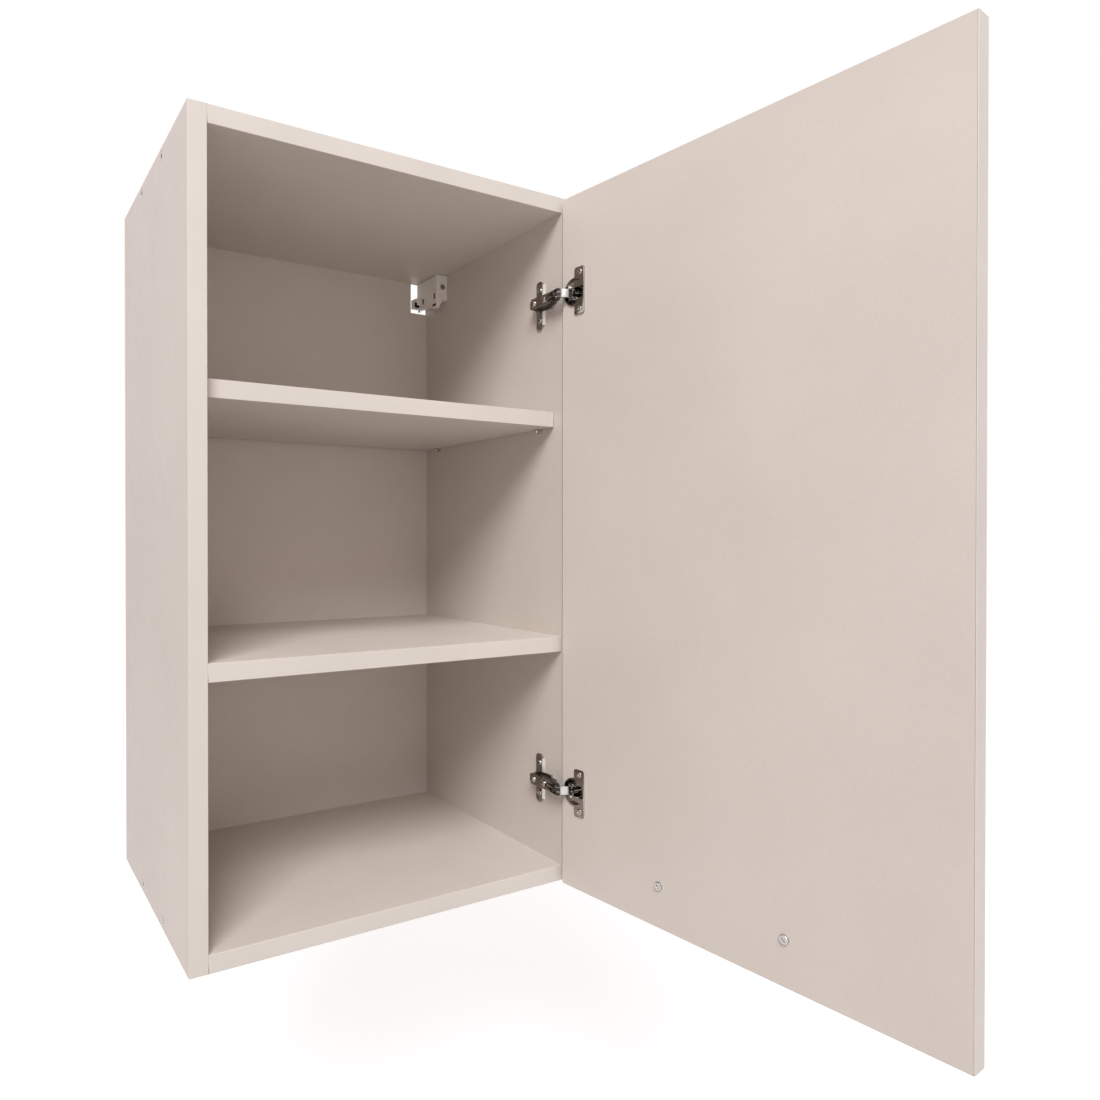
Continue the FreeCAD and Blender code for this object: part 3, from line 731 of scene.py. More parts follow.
@dataclass
class SoftCopy:
    """A node's own shape with its sharp edges broken, as a maker leaves them.

    Attributes:
        node: CAD node that is copied and replaced.
        body: Body that it rides on.
        slot: Material slot of its finish; not used.
        finish: Its main finish.
        round_off: Width of the broken edge in metres.
        rule: Share of the rounding that an edge takes.
        patches: Other finishes, each with a test on a face's middle and normal.
        segments: Facets across the rounding.
        painted_edge_highlight: Lighter finish of the broken edges, a painted highlight along them, where it
            isn't the main one.
    """

    node: str
    body: Body
    slot: Slot
    finish: Finish
    round_off: float
    rule: EdgeRule
    patches: Sequence[tuple[Finish, FaceTest]] = ()
    segments: int = 2
    painted_edge_highlight: Optional[Finish] = None

    def outline(self) -> bmesh.types.BMesh:
        """Sharp-edged shape of the piece."""
        return merged(self.node)

    def finishes(self) -> list[Finish]:
        """Finishes in the order of the mesh's material slots."""
        return [self.finish, *(finish for finish, _ in self.patches), *filter(None, (self.painted_edge_highlight,))]

    def build(self) -> None:
        """Makes the rounded mesh and seats it in the model."""
        name = self.node + "_soft"
        draft = linked(self.node + "_draft", self.sharp_mesh(name))
        bevel = draft.modifiers.new("broken_edges", "BEVEL")
        bevel.limit_method = "WEIGHT"
        bevel.width = self.round_off
        bevel.segments = self.segments
        bevel.use_clamp_overlap = False
        # The broken edges take the lighter finish: a painted highlight.
        if self.painted_edge_highlight:
            bevel.material = len(self.patches) + 1
        normals = draft.modifiers.new("flat_faces", "WEIGHTED_NORMAL")
        normals.keep_sharp = True
        piece = baked(draft, name)
        self.dress(piece)
        seated(piece, self.node, self.body)

    def sharp_mesh(self, name: str) -> bpy.types.Mesh:
        """Makes the mesh before its edges are broken.

        Args:
            name: Name of the mesh.

        Returns:
            The mesh, with its finishes and with the rounding's share on each edge.
        """
        copy = self.outline()
        weights = copy.edges.layers.float.new("bevel_weight_edge")
        for edge in copy.edges:
            sharp = len(edge.link_faces) == 2 and edge.calc_face_angle(0.0) > SHARP_FROM
            edge[weights] = self.rule(edge) if sharp else 0.0
            edge.smooth = not sharp or edge[weights] > 0.0
        for face in copy.faces:
            face.smooth = True
            face.material_index = 0
        mesh = bpy.data.meshes.new(name)
        copy.to_mesh(mesh)
        copy.free()
        mesh.materials.clear()
        for finish in self.finishes():
            mesh.materials.append(finish.material())
        return mesh

    def dress(self, piece: bpy.types.Object) -> None:
        """Puts the patches' finishes on their faces.

        Args:
            piece: The rounded piece.
        """
        for face in piece.data.polygons:
            for number, (_, test) in enumerate(self.patches, start=1):
                if test(face.center, face.normal):
                    face.material_index = number


@dataclass
class EdgeStrips(SoftCopy):
    """Edging strips, each a thin bar of its own with its outer edges rounded.

    Attributes:
        bars: Lowest and highest corner of each strip, in axes that turn takes to the model's.
        turn: Turn from those axes to the model's.
    """

    bars: Sequence[tuple[Vector, Vector]] = ()
    turn: Matrix = field(default_factory=lambda: Matrix.Identity(4))

    def outline(self) -> bmesh.types.BMesh:
        """Makes the strips.

        Returns:
            Sharp-edged bars, not joined to each other.
        """
        strips = bmesh.new()
        for low, high in self.bars:
            size = Matrix.Diagonal((*(high - low), 1.0))
            place = self.turn @ Matrix.Translation((low + high) / 2) @ size
            bmesh.ops.create_cube(strips, size=1.0, matrix=place)
        return strips


class ShapeBench(NodeBench):
    """Lays out one geometry node tree with named inputs."""

    def __init__(self, name: str) -> None:
        """Starts a tree with a geometry input and output.

        Args:
            name: Name of the tree.
        """
        super().__init__(bpy.data.node_groups.new(name, "GeometryNodeTree"))
        for way in ("INPUT", "OUTPUT"):
            self.tree.interface.new_socket("Geometry", in_out=way, socket_type="NodeSocketGeometry")
        self.entry = self.tree.nodes.new("NodeGroupInput")
        self.exit = self.tree.nodes.new("NodeGroupOutput")

    def size(self, name: str, start: float) -> None:
        """Adds a named length input."""
        socket = self.tree.interface.new_socket(name, in_out="INPUT", socket_type="NodeSocketFloat")
        socket.default_value = start

    def finish(self, name: str) -> None:
        """Adds a named material input."""
        self.tree.interface.new_socket(name, in_out="INPUT", socket_type="NodeSocketMaterial")

    def given(self, name: str) -> bpy.types.NodeSocket:
        """Socket of a named input inside the tree."""
        return self.entry.outputs[name]

    def point(self, x: object = 0.0, y: object = 0.0, z: object = 0.0) -> bpy.types.NodeSocket:
        """Vector from three numbers."""
        return self.node("ShaderNodeCombineXYZ", {0: x, 1: y, 2: z}).outputs[0]


@dataclass
class FastenerTree:
    """Geometry node tree of one kind of driven fastener.

    A turned blank is drawn up ring by ring from its tip to its head, the recess is sunk, and one copy goes
    on each point of the mesh, turned against the point's "drive" direction.

    Attributes:
        recess: What is sunk into the head.
        facets: Facets around the blank.
        tip: Radius of the tip's end, as a share of the shank's.
        chamfer: Length of the tip's chamfer, as a share of the shank's radius.
        crown: Steps of the head: rise as a share of its height, and radius as a share of the step below.
        seed: Seed of the random turn of each copy.
    """

    SIZES: ClassVar[Sequence[str]] = ("Length", "Shank Radius", "Head Radius", "Head Height",
                                      "Recess Radius", "Recess Width", "Recess Depth")

    recess: Recess
    facets: int = 28
    tip: float = 0.7
    chamfer: float = 0.4
    crown: Sequence[tuple[float, float]] = ((0.55, 1.0), (0.3, 0.955), (0.15, 0.9))
    seed: int = 11

    def build(self) -> bpy.types.NodeTree:
        """Makes the tree, once for each kind of recess.

        Returns:
            The tree.
        """
        name = "driven_fastener_" + self.recess.value
        found = bpy.data.node_groups.get(name)
        if found:
            return found
        bench = ShapeBench(name)
        for label in self.SIZES:
            bench.size(label, MM)
        bench.finish("Finish")
        blank = self.sunk(bench, self.blank(bench))
        copies = bench.node("GeometryNodeInstanceOnPoints", {
            "Points": bench.given("Geometry"), "Instance": blank, "Rotation": self.turned(bench)})
        real = bench.node("GeometryNodeRealizeInstances", {0: copies.outputs[0]})
        dressed = bench.node("GeometryNodeSetMaterial", {
            "Geometry": real.outputs[0], "Material": bench.given("Finish")})
        bench.feed(bench.exit.inputs[0], dressed.outputs[0])
        return bench.tree

    def turned(self, bench: ShapeBench) -> bpy.types.NodeSocket:
        """Lays out how each copy is turned.

        Args:
            bench: Bench of the tree.

        Returns:
            Rotation that aims the tip along the drive, after a random turn about it.
        """
        drive = bench.node("GeometryNodeInputNamedAttribute", {"Name": "drive"}, data_type="FLOAT_VECTOR")
        back = bench.node("ShaderNodeVectorMath", {0: drive.outputs[0], "Scale": -1.0}, operation="SCALE")
        aim = bench.node("FunctionNodeAlignRotationToVector", {"Vector": back.outputs[0]}, axis="Z")
        least, most, result = 2, 3, 1
        turn = bench.node("FunctionNodeRandomValue", {least: 0.0, most: 2.0 * math.pi, "Seed": self.seed},
                          data_type="FLOAT")
        spin = bench.node("FunctionNodeAxisAngleToRotation", {"Axis": UP, "Angle": turn.outputs[result]})
        both = bench.node("FunctionNodeRotateRotation", {0: aim.outputs[0], 1: spin.outputs[0]},
                          rotation_space="LOCAL")
        return both.outputs[0]

    def blank(self, bench: ShapeBench) -> bpy.types.NodeSocket:
        """Draws up the turned blank.

        Args:
            bench: Bench of the tree.

        Returns:
            The blank, with its head's top at the origin and its tip on -Z.
        """
        length, height = bench.given("Length"), bench.given("Head Height")
        shank, head = bench.given("Shank Radius"), bench.given("Head Radius")
        shaft = bench.sum("SUBTRACT", length, height)
        disc = bench.node("GeometryNodeMeshCircle", {
            "Vertices": self.facets, "Radius": bench.sum("MULTIPLY", shank, self.tip)}, fill_type="NGON")
        down = bench.point(z=bench.sum("MULTIPLY", length, -1.0))
        low = bench.node("GeometryNodeTransform", {0: disc.outputs[0], "Translation": down})
        cap = bench.node("GeometryNodeFlipFaces", {0: low.outputs[0]})
        chamfer = bench.sum("MULTIPLY", shank, self.chamfer)
        steps = [(chamfer, 1.0 / self.tip), (bench.sum("SUBTRACT", shaft, chamfer), 1.0),
                 (0.0, bench.sum("DIVIDE", head, shank))]
        steps += [(bench.sum("MULTIPLY", height, rise), scale) for rise, scale in self.crown]
        drawn, top = low.outputs[0], True
        for rise, scale in steps:
            pulled = bench.node("GeometryNodeExtrudeMesh", {
                "Mesh": drawn, "Selection": top, "Offset Scale": rise, "Individual": False}, mode="FACES")
            top = pulled.outputs["Top"]
            sized = bench.node("GeometryNodeScaleElements", {
                "Geometry": pulled.outputs["Mesh"], "Selection": top, "Scale": scale})
            drawn = sized.outputs[0]
        shell = bench.node("GeometryNodeJoinGeometry")
        for part in (cap.outputs[0], drawn):
            bench.feed(shell.inputs[0], part)
        whole = {0: shell.outputs[0], "Distance": SAME_POINT / 10}
        return bench.node("GeometryNodeMergeByDistance", whole).outputs[0]

    def sunk(self, bench: ShapeBench, blank: bpy.types.NodeSocket) -> bpy.types.NodeSocket:
        """Cuts the recess into the blank.

        Args:
            bench: Bench of the tree.
            blank: The turned blank.

        Returns:
            The blank with its recess.
        """
        if self.recess is Recess.PLAIN:
            return blank
        radius = bench.given("Recess Radius")
        tall = bench.sum("MULTIPLY", bench.given("Recess Depth"), 2.0)
        if self.recess is Recess.HEXAGON:
            prism = {"Vertices": 6, "Radius": radius, "Depth": tall}
            cutters = [bench.node("GeometryNodeMeshCylinder", prism)]
        else:
            long, wide = bench.sum("MULTIPLY", radius, 2.0), bench.given("Recess Width")
            sizes = (bench.point(long, wide, tall), bench.point(wide, long, tall))
            cutters = [bench.node("GeometryNodeMeshCube", {"Size": size}) for size in sizes]
        for cutter in cutters:
            cut = bench.node("GeometryNodeMeshBoolean", {0: blank, 1: cutter.outputs[0]},
                             operation="DIFFERENCE", solver="EXACT")
            blank = cut.outputs[0]
        return blank


@dataclass(frozen=True)
class FastenerSize:
    """Sizes of one kind of fastener, in metres.

    Attributes:
        shank: Radius of the shank.
        head: Radius of the head.
        height: Height of the head.
        recess: What is sunk into the head.
        sunk: Radius, width and depth of the recess.
    """

    shank: float
    head: float
    height: float
    recess: Recess = Recess.PLAIN
    sunk: Triple = (1.0 * MM, 1.0 * MM, 1.0 * MM)


@dataclass
class Fasteners:
    """A row of like fasteners that take the places of a node's own solids.

    Attributes:
        node: CAD node with one solid for each fastener.
        body: Body that they ride on.
        slot: Material slot; not used.
        finish: Their finish.
        drive: Rule that gives the way a fastener is driven from its solid's middle.
        size: Their sizes, apart from their length, which is the solid's.
    """

    node: str
    body: Body
    slot: Slot
    finish: Finish
    drive: DriveRule
    size: FastenerSize

    def build(self) -> None:
        """Makes the fasteners, one object for each length."""
        rows: dict[float, list[tuple[Vector, Vector]]] = {}
        for points in islands(self.node):
            way = self.drive(sum(points, Vector()) / len(points)).normalized()
            side = way.orthogonal().normalized()
            other = way.cross(side)
            (start, end), across, upward = (span_along(points, axis) for axis in (way, side, other))
            seat = way * start + side * sum(across) / 2 + other * sum(upward) / 2
            rows.setdefault(round(end - start, 5), []).append((seat, way))
        for number, (length, places) in enumerate(sorted(rows.items()), start=1):
            name = "%s_set%d" % (self.node, number)
            seated(self.row(name, length, places), self.node, self.body)

    def row(self, name: str, length: float, places: Sequence[tuple[Vector, Vector]]) -> bpy.types.Object:
        """Runs the node tree on the places of one length.

        Args:
            name: Name of the row.
            length: Length of each fastener in metres.
            places: Top of each head, with the way that it is driven.

        Returns:
            The row as a plain mesh object.
        """
        mesh = bpy.data.meshes.new(name + "_points")
        mesh.from_pydata([tuple(seat) for seat, _ in places], [], [])
        drive = mesh.attributes.new("drive", "FLOAT_VECTOR", "POINT")
        for number, (_, way) in enumerate(places):
            drive.data[number].vector = way
        draft = linked(name + "_draft", mesh)
        modifier = draft.modifiers.new("fasteners", "NODES")
        modifier.node_group = FastenerTree(self.size.recess).build()
        sizes = (length, self.size.shank, self.size.head, self.size.height, *self.size.sunk)
        given = dict(zip(FastenerTree.SIZES, sizes))
        given["Finish"] = self.finish.material()
        for item in modifier.node_group.interface.items_tree:
            if item.item_type == "SOCKET" and item.in_out == "INPUT" and item.name in given:
                modifier[item.identifier] = given[item.name]
        return baked(draft, name)


def always(way: Vector) -> DriveRule:
    """Drive rule of fasteners that all go one way."""
    return lambda middle: way


def inward(middle: Vector) -> Vector:
    """Drive rule of fasteners that go through a side board towards the middle of the cabinet."""
    return -RIGHT if middle.x > 0.0 else RIGHT


@dataclass
class Carcass:
    """Boards, back panel, edging and fasteners of the cabinet.

    Attributes:
        boards: Nodes of the boards.
        back_arris: Width of the back panel's broken edges in metres.
        fibre_from: Place on Y behind which the back panel is bare fibreboard.
        rear_facing: Least share of +Y in the normal of a sawn face.
        screw: Sizes of a carcass screw.
        dowel: Sizes of a dowel.
        nail: Sizes of a nail.
        pin_round: Rounding of a shelf pin's end in metres.
        pin_facets: Facets across that rounding.
    """

    boards: Sequence[str] = ("left_side", "right_side", "top_panel", "bottom_panel", "fixed_shelf",
                             "adjustable_shelf")
    back_arris: float = 0.1 * MM
    fibre_from: float = -2.9 * MM
    rear_facing: float = 0.9
    screw: FastenerSize = FastenerSize(3.1 * MM, 4.75 * MM, 3.6 * MM, Recess.HEXAGON,
                                       (2.3 * MM, 1.0 * MM, 2.4 * MM))
    dowel: FastenerSize = FastenerSize(3.9 * MM, 3.95 * MM, 1.0 * MM)
    nail: FastenerSize = FastenerSize(0.75 * MM, 2.15 * MM, 0.55 * MM)
    pin_round: float = 1.5 * MM
    pin_facets: int = 5

    def build(self) -> None:
        """Makes every piece of the carcass."""
        for node in self.boards:
            SoftCopy(node, Body.CABINET, Slot.LAMINATE, LAMINATE, BOARD_ARRIS, long_edges(BOARD_EDGE),
                     ((CHIPBOARD, self.is_sawn),)).build()
        SoftCopy("back_panel", Body.CABINET, Slot.BACK_BOARD, INSIDE_FOIL, self.back_arris,
                 long_edges(BOARD_EDGE), ((FIBREBOARD, self.is_bare),)).build()
        bars = self.front_bars()
        EdgeStrips("carcass_edge_bands", Body.CABINET, Slot.EDGING, EDGING, STRIP_ROUND,
                   self.front_rule({low.y for low, _ in bars}), bars=bars).build()
        self.fasten()

    def is_sawn(self, middle: Vector, normal: Vector) -> bool:
        """Whether a face of a board looks to the rear, where it has no edging."""
        return normal.y > self.rear_facing

    def is_bare(self, middle: Vector, normal: Vector) -> bool:
        """Whether a face of the back panel lies behind its foil."""
        return middle.y > self.fibre_from

    def front_bars(self) -> list[tuple[Vector, Vector]]:
        """Places the strips.

        Returns:
            Lowest and highest corner of the strip on each board's front edge.
        """
        bars = []
        for node in self.boards:
            low, high = (Vector(corner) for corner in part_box(node))
            bars.append((Vector((low.x, low.y - STRIP, low.z)), Vector((high.x, low.y, high.z))))
        return bars

    def front_rule(self, fronts: set[float]) -> EdgeRule:
        """Rule that rounds the strips' front edges only, and leaves their glue lines sharp.

        Args:
            fronts: Places of the strips' fronts along Y, in metres.

        Returns:
            The rule.
        """
        def rule(edge: bmesh.types.BMEdge) -> float:
            """Full rounding for an edge that lies in a front, none for others."""
            depth = min(sum(abs(vert.co.y - y) for vert in edge.verts) for y in fronts)
            return 1.0 if depth < SAME_PLANE else 0.0
        return rule

    def fasten(self) -> None:
        """Makes the carcass screws, dowels, nails and shelf pins."""
        for node, slot, finish, drive, size in (
                ("carcass_screws", Slot.ZINC, ZINC, inward, self.screw),
                ("shelf_dowels", Slot.BEECH, BEECH, inward, self.dowel),
                ("back_nails", Slot.ZINC, ZINC, always(FORWARD), self.nail)):
            Fasteners(node, Body.CABINET, slot, finish, drive, size).build()
        SoftCopy("shelf_pins", Body.CABINET, Slot.NICKEL, CHROME, self.pin_round, tip_edges(SIDE_FACE),
                 segments=self.pin_facets).build()


@dataclass(frozen=True)
class Pocket:
    """Box around a hollow in a bracket.

    Attributes:
        low: Least depth behind the bracket's flank, place on Y and height, in metres.
        high: Greatest ones.
    """

    low: Triple
    high: Triple

    def holds(self, place: Triple) -> bool:
        """Whether a place lies in the hollow."""
        return all(low < part < high for low, part, high in zip(self.low, place, self.high))


@dataclass
class Hangers:
    """The two hanging brackets with their hooks and screws.

    Attributes:
        sides: The sides that have a bracket.
        housing_round: Rounding of a housing's corners in metres.
        hook_round: Rounding of a hook's corners.
        screw_round: Rounding of a screw's corners.
        proud: Shortest rounded edge of a housing or hook.
        screw_proud: Shortest rounded edge of a screw.
        flank: Distance of a bracket's flank from the middle of the cabinet.
        screw_level: Height between the adjusters and the depth screw.
        bore_depth: Depth of the front bore's axis behind the flank.
        bore_level: Height of that axis.
        bore_radius: Radius around it that takes in the bore's wall.
        bore_before: Place on Y before which that wall lies.
        across: Greatest share of Y in the normal of the bore's wall.
        pockets: The release slot in the flank, and the recess in the foot.
    """

    sides: Sequence[str] = ("left", "right")
    housing_round: float = 0.4 * MM
    hook_round: float = 0.3 * MM
    screw_round: float = 0.15 * MM
    proud: float = 2.0 * MM
    screw_proud: float = 0.8 * MM
    flank: float = 169.75 * MM
    screw_level: float = 322.5 * MM
    bore_depth: float = 8.0 * MM
    bore_level: float = 328.0 * MM
    bore_radius: float = 3.6 * MM
    bore_before: float = -55.5 * MM
    across: float = 0.5
    pockets: Sequence[Pocket] = (
        Pocket((0.0, -55.0 * MM, 304.1 * MM), (2.5 * MM, -45.0 * MM, 306.9 * MM)),
        Pocket((-8.75 * MM, -10.9 * MM, 310.2 * MM), (-0.9 * MM, -7.2 * MM, 317.8 * MM)))

    def build(self) -> None:
        """Makes both brackets."""
        corners = proud_edges(self.proud)
        for side in self.sides:
            # Housings get near-black nylon in their bores and pockets as painted shade.
            SoftCopy(side + "_hanger_housing", Body.CABINET, Slot.PLASTIC, NYLON, self.housing_round,
                     corners, ((PAINTED_HOLLOW_SHADE, self.is_sunk),)).build()
            SoftCopy(side + "_hanger_hook", Body.CABINET, Slot.ZINC, ZINC, self.hook_round,
                     corners).build()
        # The depth screws are dark nickel rather than zinc: painted shade, as they sit sunk in their bores.
        SoftCopy("hanger_screws", Body.CABINET, Slot.ZINC, DARK_NICKEL, self.screw_round,
                 proud_edges(self.screw_proud),
                 ((NYLON, self.is_adjuster), (PAINTED_HOLLOW_SHADE, self.is_tool_slot))).build()

    def is_adjuster(self, middle: Vector, normal: Vector) -> bool:
        """Whether a face belongs to one of the adjusters in the flank."""
        return middle.z < self.screw_level

    def is_tool_slot(self, middle: Vector, normal: Vector) -> bool:
        """Whether a face of an adjuster lies behind the flank, as its tool slot does; such faces get
        painted shade.
        """
        return self.is_adjuster(middle, normal) and abs(middle.x) > self.flank

    def is_sunk(self, middle: Vector, normal: Vector) -> bool:
        """Whether a face of a housing lies inside its front bore or one of its pockets, where near-black
        nylon is painted shade.

        Args:
            middle: Middle of the face in metres.
            normal: Direction that it faces.

        Returns:
            True for such a face.
        """
        depth = abs(middle.x) - self.flank
        if middle.y < self.bore_before and abs(normal.y) < self.across:
            return math.hypot(depth - self.bore_depth, middle.z - self.bore_level) < self.bore_radius
        return any(pocket.holds((depth, middle.y, middle.z)) for pocket in self.pockets)


@dataclass
class Hinges:
    """Two concealed hinges: mounting plates, arms, links, cups, pins and screws.

    Attributes:
        levels: The hinges, by their height.
        wide_round: Rounding of plates and cups in metres.
        arm_round: Rounding of arms.
        link_round: Rounding of links.
        proud: Shortest rounded edge of a plate, arm or cup.
        link_proud: Shortest rounded edge of a link.
        slope_x: Greatest share of +X in the normal of a plate's slope.
        slope_y: Least and greatest share of +Y in it.
        nose_from: Place on Y before which an arm is its forked nose.
        eye_to: Place on X up to which an outer link is its rear eye.
        plate_screw: Sizes of a mounting plate's screw.
        arm_screw: Sizes of an arm's clamp screw or adjusting screw.
        cup_screw: Sizes of a cup's screw.
        pin: Sizes of a pivot pin.
    """

    levels: Sequence[str] = ("upper", "lower")
    wide_round: float = 0.4 * MM
    arm_round: float = 0.28 * MM
    link_round: float = 0.2 * MM
    proud: float = 1.0 * MM
    link_proud: float = 0.3 * MM
    slope_x: float = -0.5
    slope_y: Span = (-0.7, -0.2)
    nose_from: float = -296.0 * MM
    eye_to: float = 172.6 * MM
    plate_screw: FastenerSize = FastenerSize(2.4 * MM, 3.75 * MM, 1.2 * MM, Recess.CROSS,
                                             (2.1 * MM, 1.0 * MM, 0.9 * MM))
    arm_screw: FastenerSize = FastenerSize(1.95 * MM, 3.55 * MM, 1.6 * MM, Recess.CROSS,
                                           (2.0 * MM, 0.9 * MM, 1.1 * MM))
    cup_screw: FastenerSize = FastenerSize(1.65 * MM, 3.15 * MM, 1.0 * MM, Recess.CROSS,
                                           (1.7 * MM, 0.8 * MM, 0.8 * MM))
    pin: FastenerSize = FastenerSize(0.98 * MM, 0.99 * MM, 0.5 * MM)

    def build(self) -> None:
        """Makes every piece of both hinges."""
        dark = (Slot.DARK_NICKEL, DARK_NICKEL)
        clear, thin = proud_edges(self.proud, SIDE_FACE), proud_edges(self.link_proud)
        for level in self.levels:
            # Plates, arms and cups have lighter nickel on their broken edges as a painted highlight.
            SoftCopy(level + "_hinge_plate", Body.CABINET, *dark, self.wide_round, clear,
                     ((SLOPE_REFLECTION_NICKEL, self.is_slope),), painted_edge_highlight=NICKEL).build()
            SoftCopy(level + "_hinge_arm", Body.CABINET, *dark, self.arm_round, clear,
                     ((PAINTED_SHADE_STEEL, self.is_nose),), painted_edge_highlight=NICKEL).build()
            SoftCopy(level + "_hinge_cup", Body.DOOR, *dark, self.wide_round, proud_edges(self.proud),
                     painted_edge_highlight=NICKEL).build()
            SoftCopy(level + "_outer_link", Body.OUTER_LINKS, Slot.NICKEL, NICKEL, self.link_round, thin,
                     ((PAINTED_SHADE_STEEL, self.is_rear_eye),)).build()
            # Inner links are near-black steel as painted shade under the arm.
            SoftCopy(level + "_inner_link", Body.INNER_LINKS, Slot.NICKEL, PAINTED_SHADE_STEEL, self.link_round,
                     thin).build()
        self.fasten()

    def is_slope(self, middle: Vector, normal: Vector) -> bool:
        """Whether a face is the slope on the front of a plate's wing, whose lighter nickel is a painted
        reflection.
        """
        return normal.x < self.slope_x and self.slope_y[0] < normal.y < self.slope_y[1]

    def is_nose(self, middle: Vector, normal: Vector) -> bool:
        """Whether a face belongs to the forked nose of an arm, in front of its flat web, where near-black
        steel is painted shade.
        """
        return middle.y < self.nose_from

    def is_rear_eye(self, middle: Vector, normal: Vector) -> bool:
        """Whether a face belongs to the end of an outer link that turns in the arm's nose, where near-black
        steel is painted shade.
        """
        return middle.x < self.eye_to

    def fasten(self) -> None:
        """Makes the screws and pins of both hinges."""
        for node, body, finish, way, size in (
                ("hinge_plate_screws", Body.CABINET, NICKEL, RIGHT, self.plate_screw),
                ("hinge_clamp_screws", Body.CABINET, NICKEL, RIGHT, self.arm_screw),
                ("hinge_adjusting_screws", Body.CABINET, NICKEL, RIGHT, self.arm_screw),
                ("hinge_cup_screws", Body.DOOR, NICKEL, DOOR_OUT, self.cup_screw),
                # Arm pins are near-black steel as painted shade in the arm's nose.
                ("hinge_arm_pins", Body.CABINET, PAINTED_SHADE_STEEL, UP, self.pin),
                ("hinge_cup_pins", Body.DOOR, NICKEL, UP, self.pin)):
            Fasteners(node, body, Slot.NICKEL, finish, always(way), size).build()


@dataclass
class Door:
    """The open door: board, edging, handle and handle screws.

    Attributes:
        handle_round: Rounding of the handle's corners in metres.
        screw: Sizes of a handle screw.
    """

    handle_round: float = 0.7 * MM
    screw: FastenerSize = FastenerSize(1.95 * MM, 4.15 * MM, 2.1 * MM, Recess.CROSS,
                                       (2.2 * MM, 0.9 * MM, 1.1 * MM))

    def build(self) -> None:
        """Makes every piece of the door."""
        SoftCopy("door_panel", Body.DOOR, Slot.LAMINATE, LAMINATE, BOARD_ARRIS,
                 long_edges(BOARD_EDGE)).build()
        limits = self.limits()
        EdgeStrips("door_edge_bands", Body.DOOR, Slot.EDGING, EDGING, STRIP_ROUND, self.rim_rule(limits),
                   bars=self.rim_bars(limits), turn=Matrix.Rotation(OPENING, 4, "Z")).build()
        SoftCopy("door_handle", Body.DOOR, Slot.HANDLE, HANDLE_METAL, self.handle_round,
                 proud_edges(0.0)).build()
        Fasteners("handle_screws", Body.DOOR, Slot.ZINC, ZINC, always(DOOR_OUT), self.screw).build()

    def limits(self) -> list[Span]:
        """Outer limits of the edging along the door, through it and upright."""
        corners = [vert.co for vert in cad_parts["door_edge_bands"].data.vertices]
        return [span_along(corners, way) for way in (DOOR_ALONG, -DOOR_OUT, UP)]

    def rim_bars(self, limits: Sequence[Span]) -> list[tuple[Vector, Vector]]:
        """Places the strips.

        Args:
            limits: Outer limits of the edging.

        Returns:
            Lowest and highest corner of the four strips in the shut door's axes.
        """
        (x0, x1), (y0, y1), (z0, z1) = limits
        t = STRIP
        corners = ((x0, x0 + t, z0, z1), (x1 - t, x1, z0, z1), (x0 + t, x1 - t, z0, z0 + t),
                   (x0 + t, x1 - t, z1 - t, z1))
        return [(Vector((a, y0, c)), Vector((b, y1, d))) for a, b, c, d in corners]

    def rim_rule(self, limits: Sequence[Span]) -> EdgeRule:
        """Rule that rounds the door's outer rim only, and leaves the glue lines sharp.

        Args:
            limits: Outer limits of the edging.

        Returns:
            The rule.
        """
        planes = [(DOOR_ALONG, place) for place in limits[0]] + [(UP, place) for place in limits[2]]

        def rule(edge: bmesh.types.BMEdge) -> float:
            """Full rounding for an edge that lies in the rim, none for others."""
            for way, place in planes:
                if max(abs(vert.co.dot(way) - place) for vert in edge.verts) < SAME_PLANE:
                    return 1.0
            return 0.0
        return rule


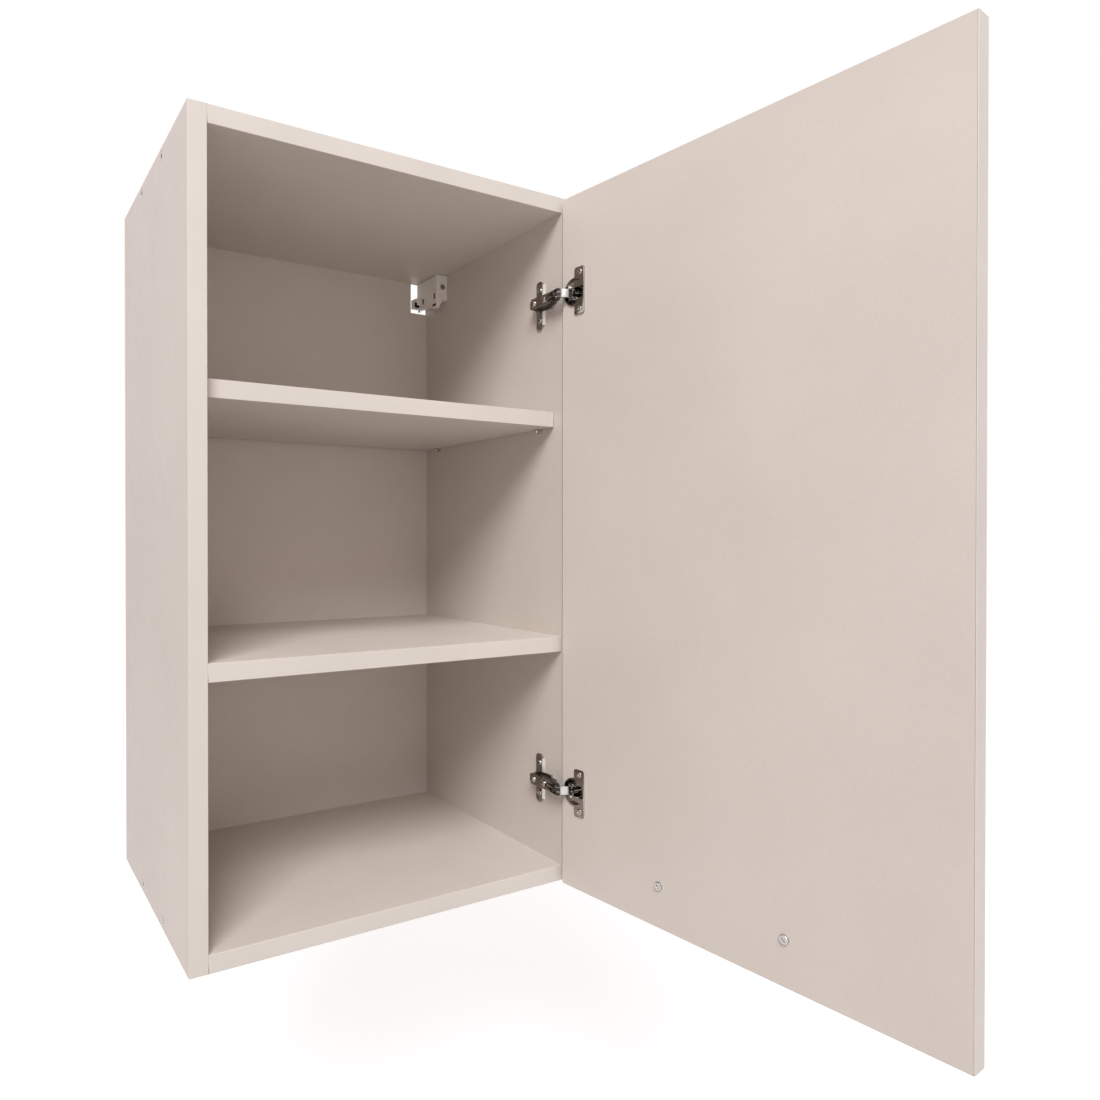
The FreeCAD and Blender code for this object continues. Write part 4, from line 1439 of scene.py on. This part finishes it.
@dataclass
class Studio:
    """Pale floor, soft light, white surround and the photograph's camera.

    Attributes:
        drop: Height of the floor below the cabinet's middle, in metres.
        floor_reach: Half the floor's side in metres.
        floor_grey: Grey of the floor.
        floor_rough: Its roughness.
        floor_glow: Share of white that the floor adds to its own grey when it is looked at.
        key_place: Middle of the light in metres.
        key_target: The point that it faces.
        key_side: Length of its side in metres.
        key_power: Its power in watts.
        surround: Colour of the even light from all round.
        surround_strength: Strength of that light.
        eye: Place of the camera in metres.
        yaw: Turn of the view to the right of +Y in radians.
        pitch: Tilt of the view in radians, down negative.
        photo_width: Width of the photograph in pixels.
        photo_focal: Focal length fitted to it, in those pixels.
        wider: Share of that focal length which takes in the whole door.
        centre: Place of the view's axis in the picture, in picture widths from its middle.
        sensor: Width of the camera's sensor in millimetres.
        near: Nearest distance that the camera sees, in metres.
    """

    drop: float = 0.80
    floor_reach: float = 14.0
    floor_grey: float = 0.5
    floor_rough: float = 0.9
    floor_glow: float = 0.70
    key_place: Triple = (-2.05, -3.34, 3.28)
    key_target: Triple = (0.0, -0.2, 0.0)
    key_side: float = 2.2
    key_power: float = 238.0
    surround: Colour = (1.0, 0.845, 0.842)
    surround_strength: float = 0.52
    eye: Triple = (-0.35863, -0.99569, 0.00197)
    yaw: float = 0.5455
    pitch: float = -0.0065
    photo_width: float = 1100.0
    photo_focal: float = 953.87
    wider: float = 0.87
    centre: Span = (0.078, -0.006)
    sensor: float = 36.0
    near: float = 0.01

    def build(self) -> None:
        """Makes the floor, the light, the world and the camera."""
        self.lay_floor()
        self.hang_light()
        self.fill_world()
        self.set_camera()
        bpy.context.scene.view_settings.view_transform = "Standard"

    def lay_floor(self) -> None:
        """Lays a wide pale floor well below the hanging cabinet."""
        sheet = bmesh.new()
        level = Matrix.Translation((0.0, 0.0, -self.drop))
        bmesh.ops.create_grid(sheet, x_segments=8, y_segments=8, size=self.floor_reach, matrix=level)
        mesh = bpy.data.meshes.new("studio_floor")
        sheet.to_mesh(mesh)
        sheet.free()
        mesh.materials.append(self.floor_material())
        linked("studio_floor", mesh)

    def floor_material(self) -> bpy.types.Material:
        """Makes the floor's material.

        Returns:
            Pale material that lies white in the picture and keeps the object's shadow.
        """
        bench = ShaderBench("studio_floor")
        grey = (self.floor_grey, self.floor_grey, self.floor_grey, 1.0)
        glow = bench.sum("MULTIPLY", bench.seen(), self.floor_glow)
        return bench.wire(Base_Color=grey, Roughness=self.floor_rough, Emission_Color=(*WHITE, 1.0),
                          Emission_Strength=glow)

    def hang_light(self) -> None:
        """Hangs one broad soft light above and to the left of the camera."""
        data = bpy.data.lights.new("soft_key", "AREA")
        data.shape = "SQUARE"
        data.size = self.key_side
        data.energy = self.key_power
        lamp = linked("soft_key", data)
        lamp.location = self.key_place
        aim = Vector(self.key_target) - Vector(self.key_place)
        lamp.rotation_euler = aim.to_track_quat("-Z", "Y").to_euler()

    def fill_world(self) -> None:
        """Fills the world with an even warm light that the camera and shiny metal see as white."""
        world = bpy.data.worlds.new("studio_surround")
        bpy.context.scene.world = world
        world.use_nodes = True
        bench = NodeBench(world.node_tree)
        light = bench.tree.nodes["Background"]
        bench.feed(light.inputs["Color"], (*self.surround, 1.0))
        bench.feed(light.inputs["Strength"], self.surround_strength)
        white = bench.node("ShaderNodeBackground", {"Color": (*WHITE, 1.0)})
        mix = bench.node("ShaderNodeMixShader", {0: bench.seen(), 1: light.outputs[0], 2: white.outputs[0]})
        bench.feed(bench.tree.nodes["World Output"].inputs[0], mix.outputs[0])

    def set_camera(self) -> None:
        """Puts the camera where the photograph was taken from."""
        data = bpy.data.cameras.new("photo_camera")
        data.sensor_width = self.sensor
        data.lens = self.sensor * (self.photo_focal / self.photo_width * self.wider)
        data.shift_x, data.shift_y = self.centre
        data.clip_start = self.near
        camera = linked("photo_camera", data)
        camera.location = self.eye
        camera.rotation_euler = (math.pi / 2 + self.pitch, 0.0, -self.yaw)
        bpy.context.scene.camera = camera


def main() -> None:
    """Builds the cabinet's sub-assemblies in order, then the studio."""
    logging.basicConfig(level=logging.INFO, format="%(name)s: %(message)s")
    for assembly in (Carcass(), Hangers(), Hinges(), Door(), Studio()):
        assembly.build()
        LOG.info("%s built", type(assembly).__name__)


if __name__ == "__main__":
    main()
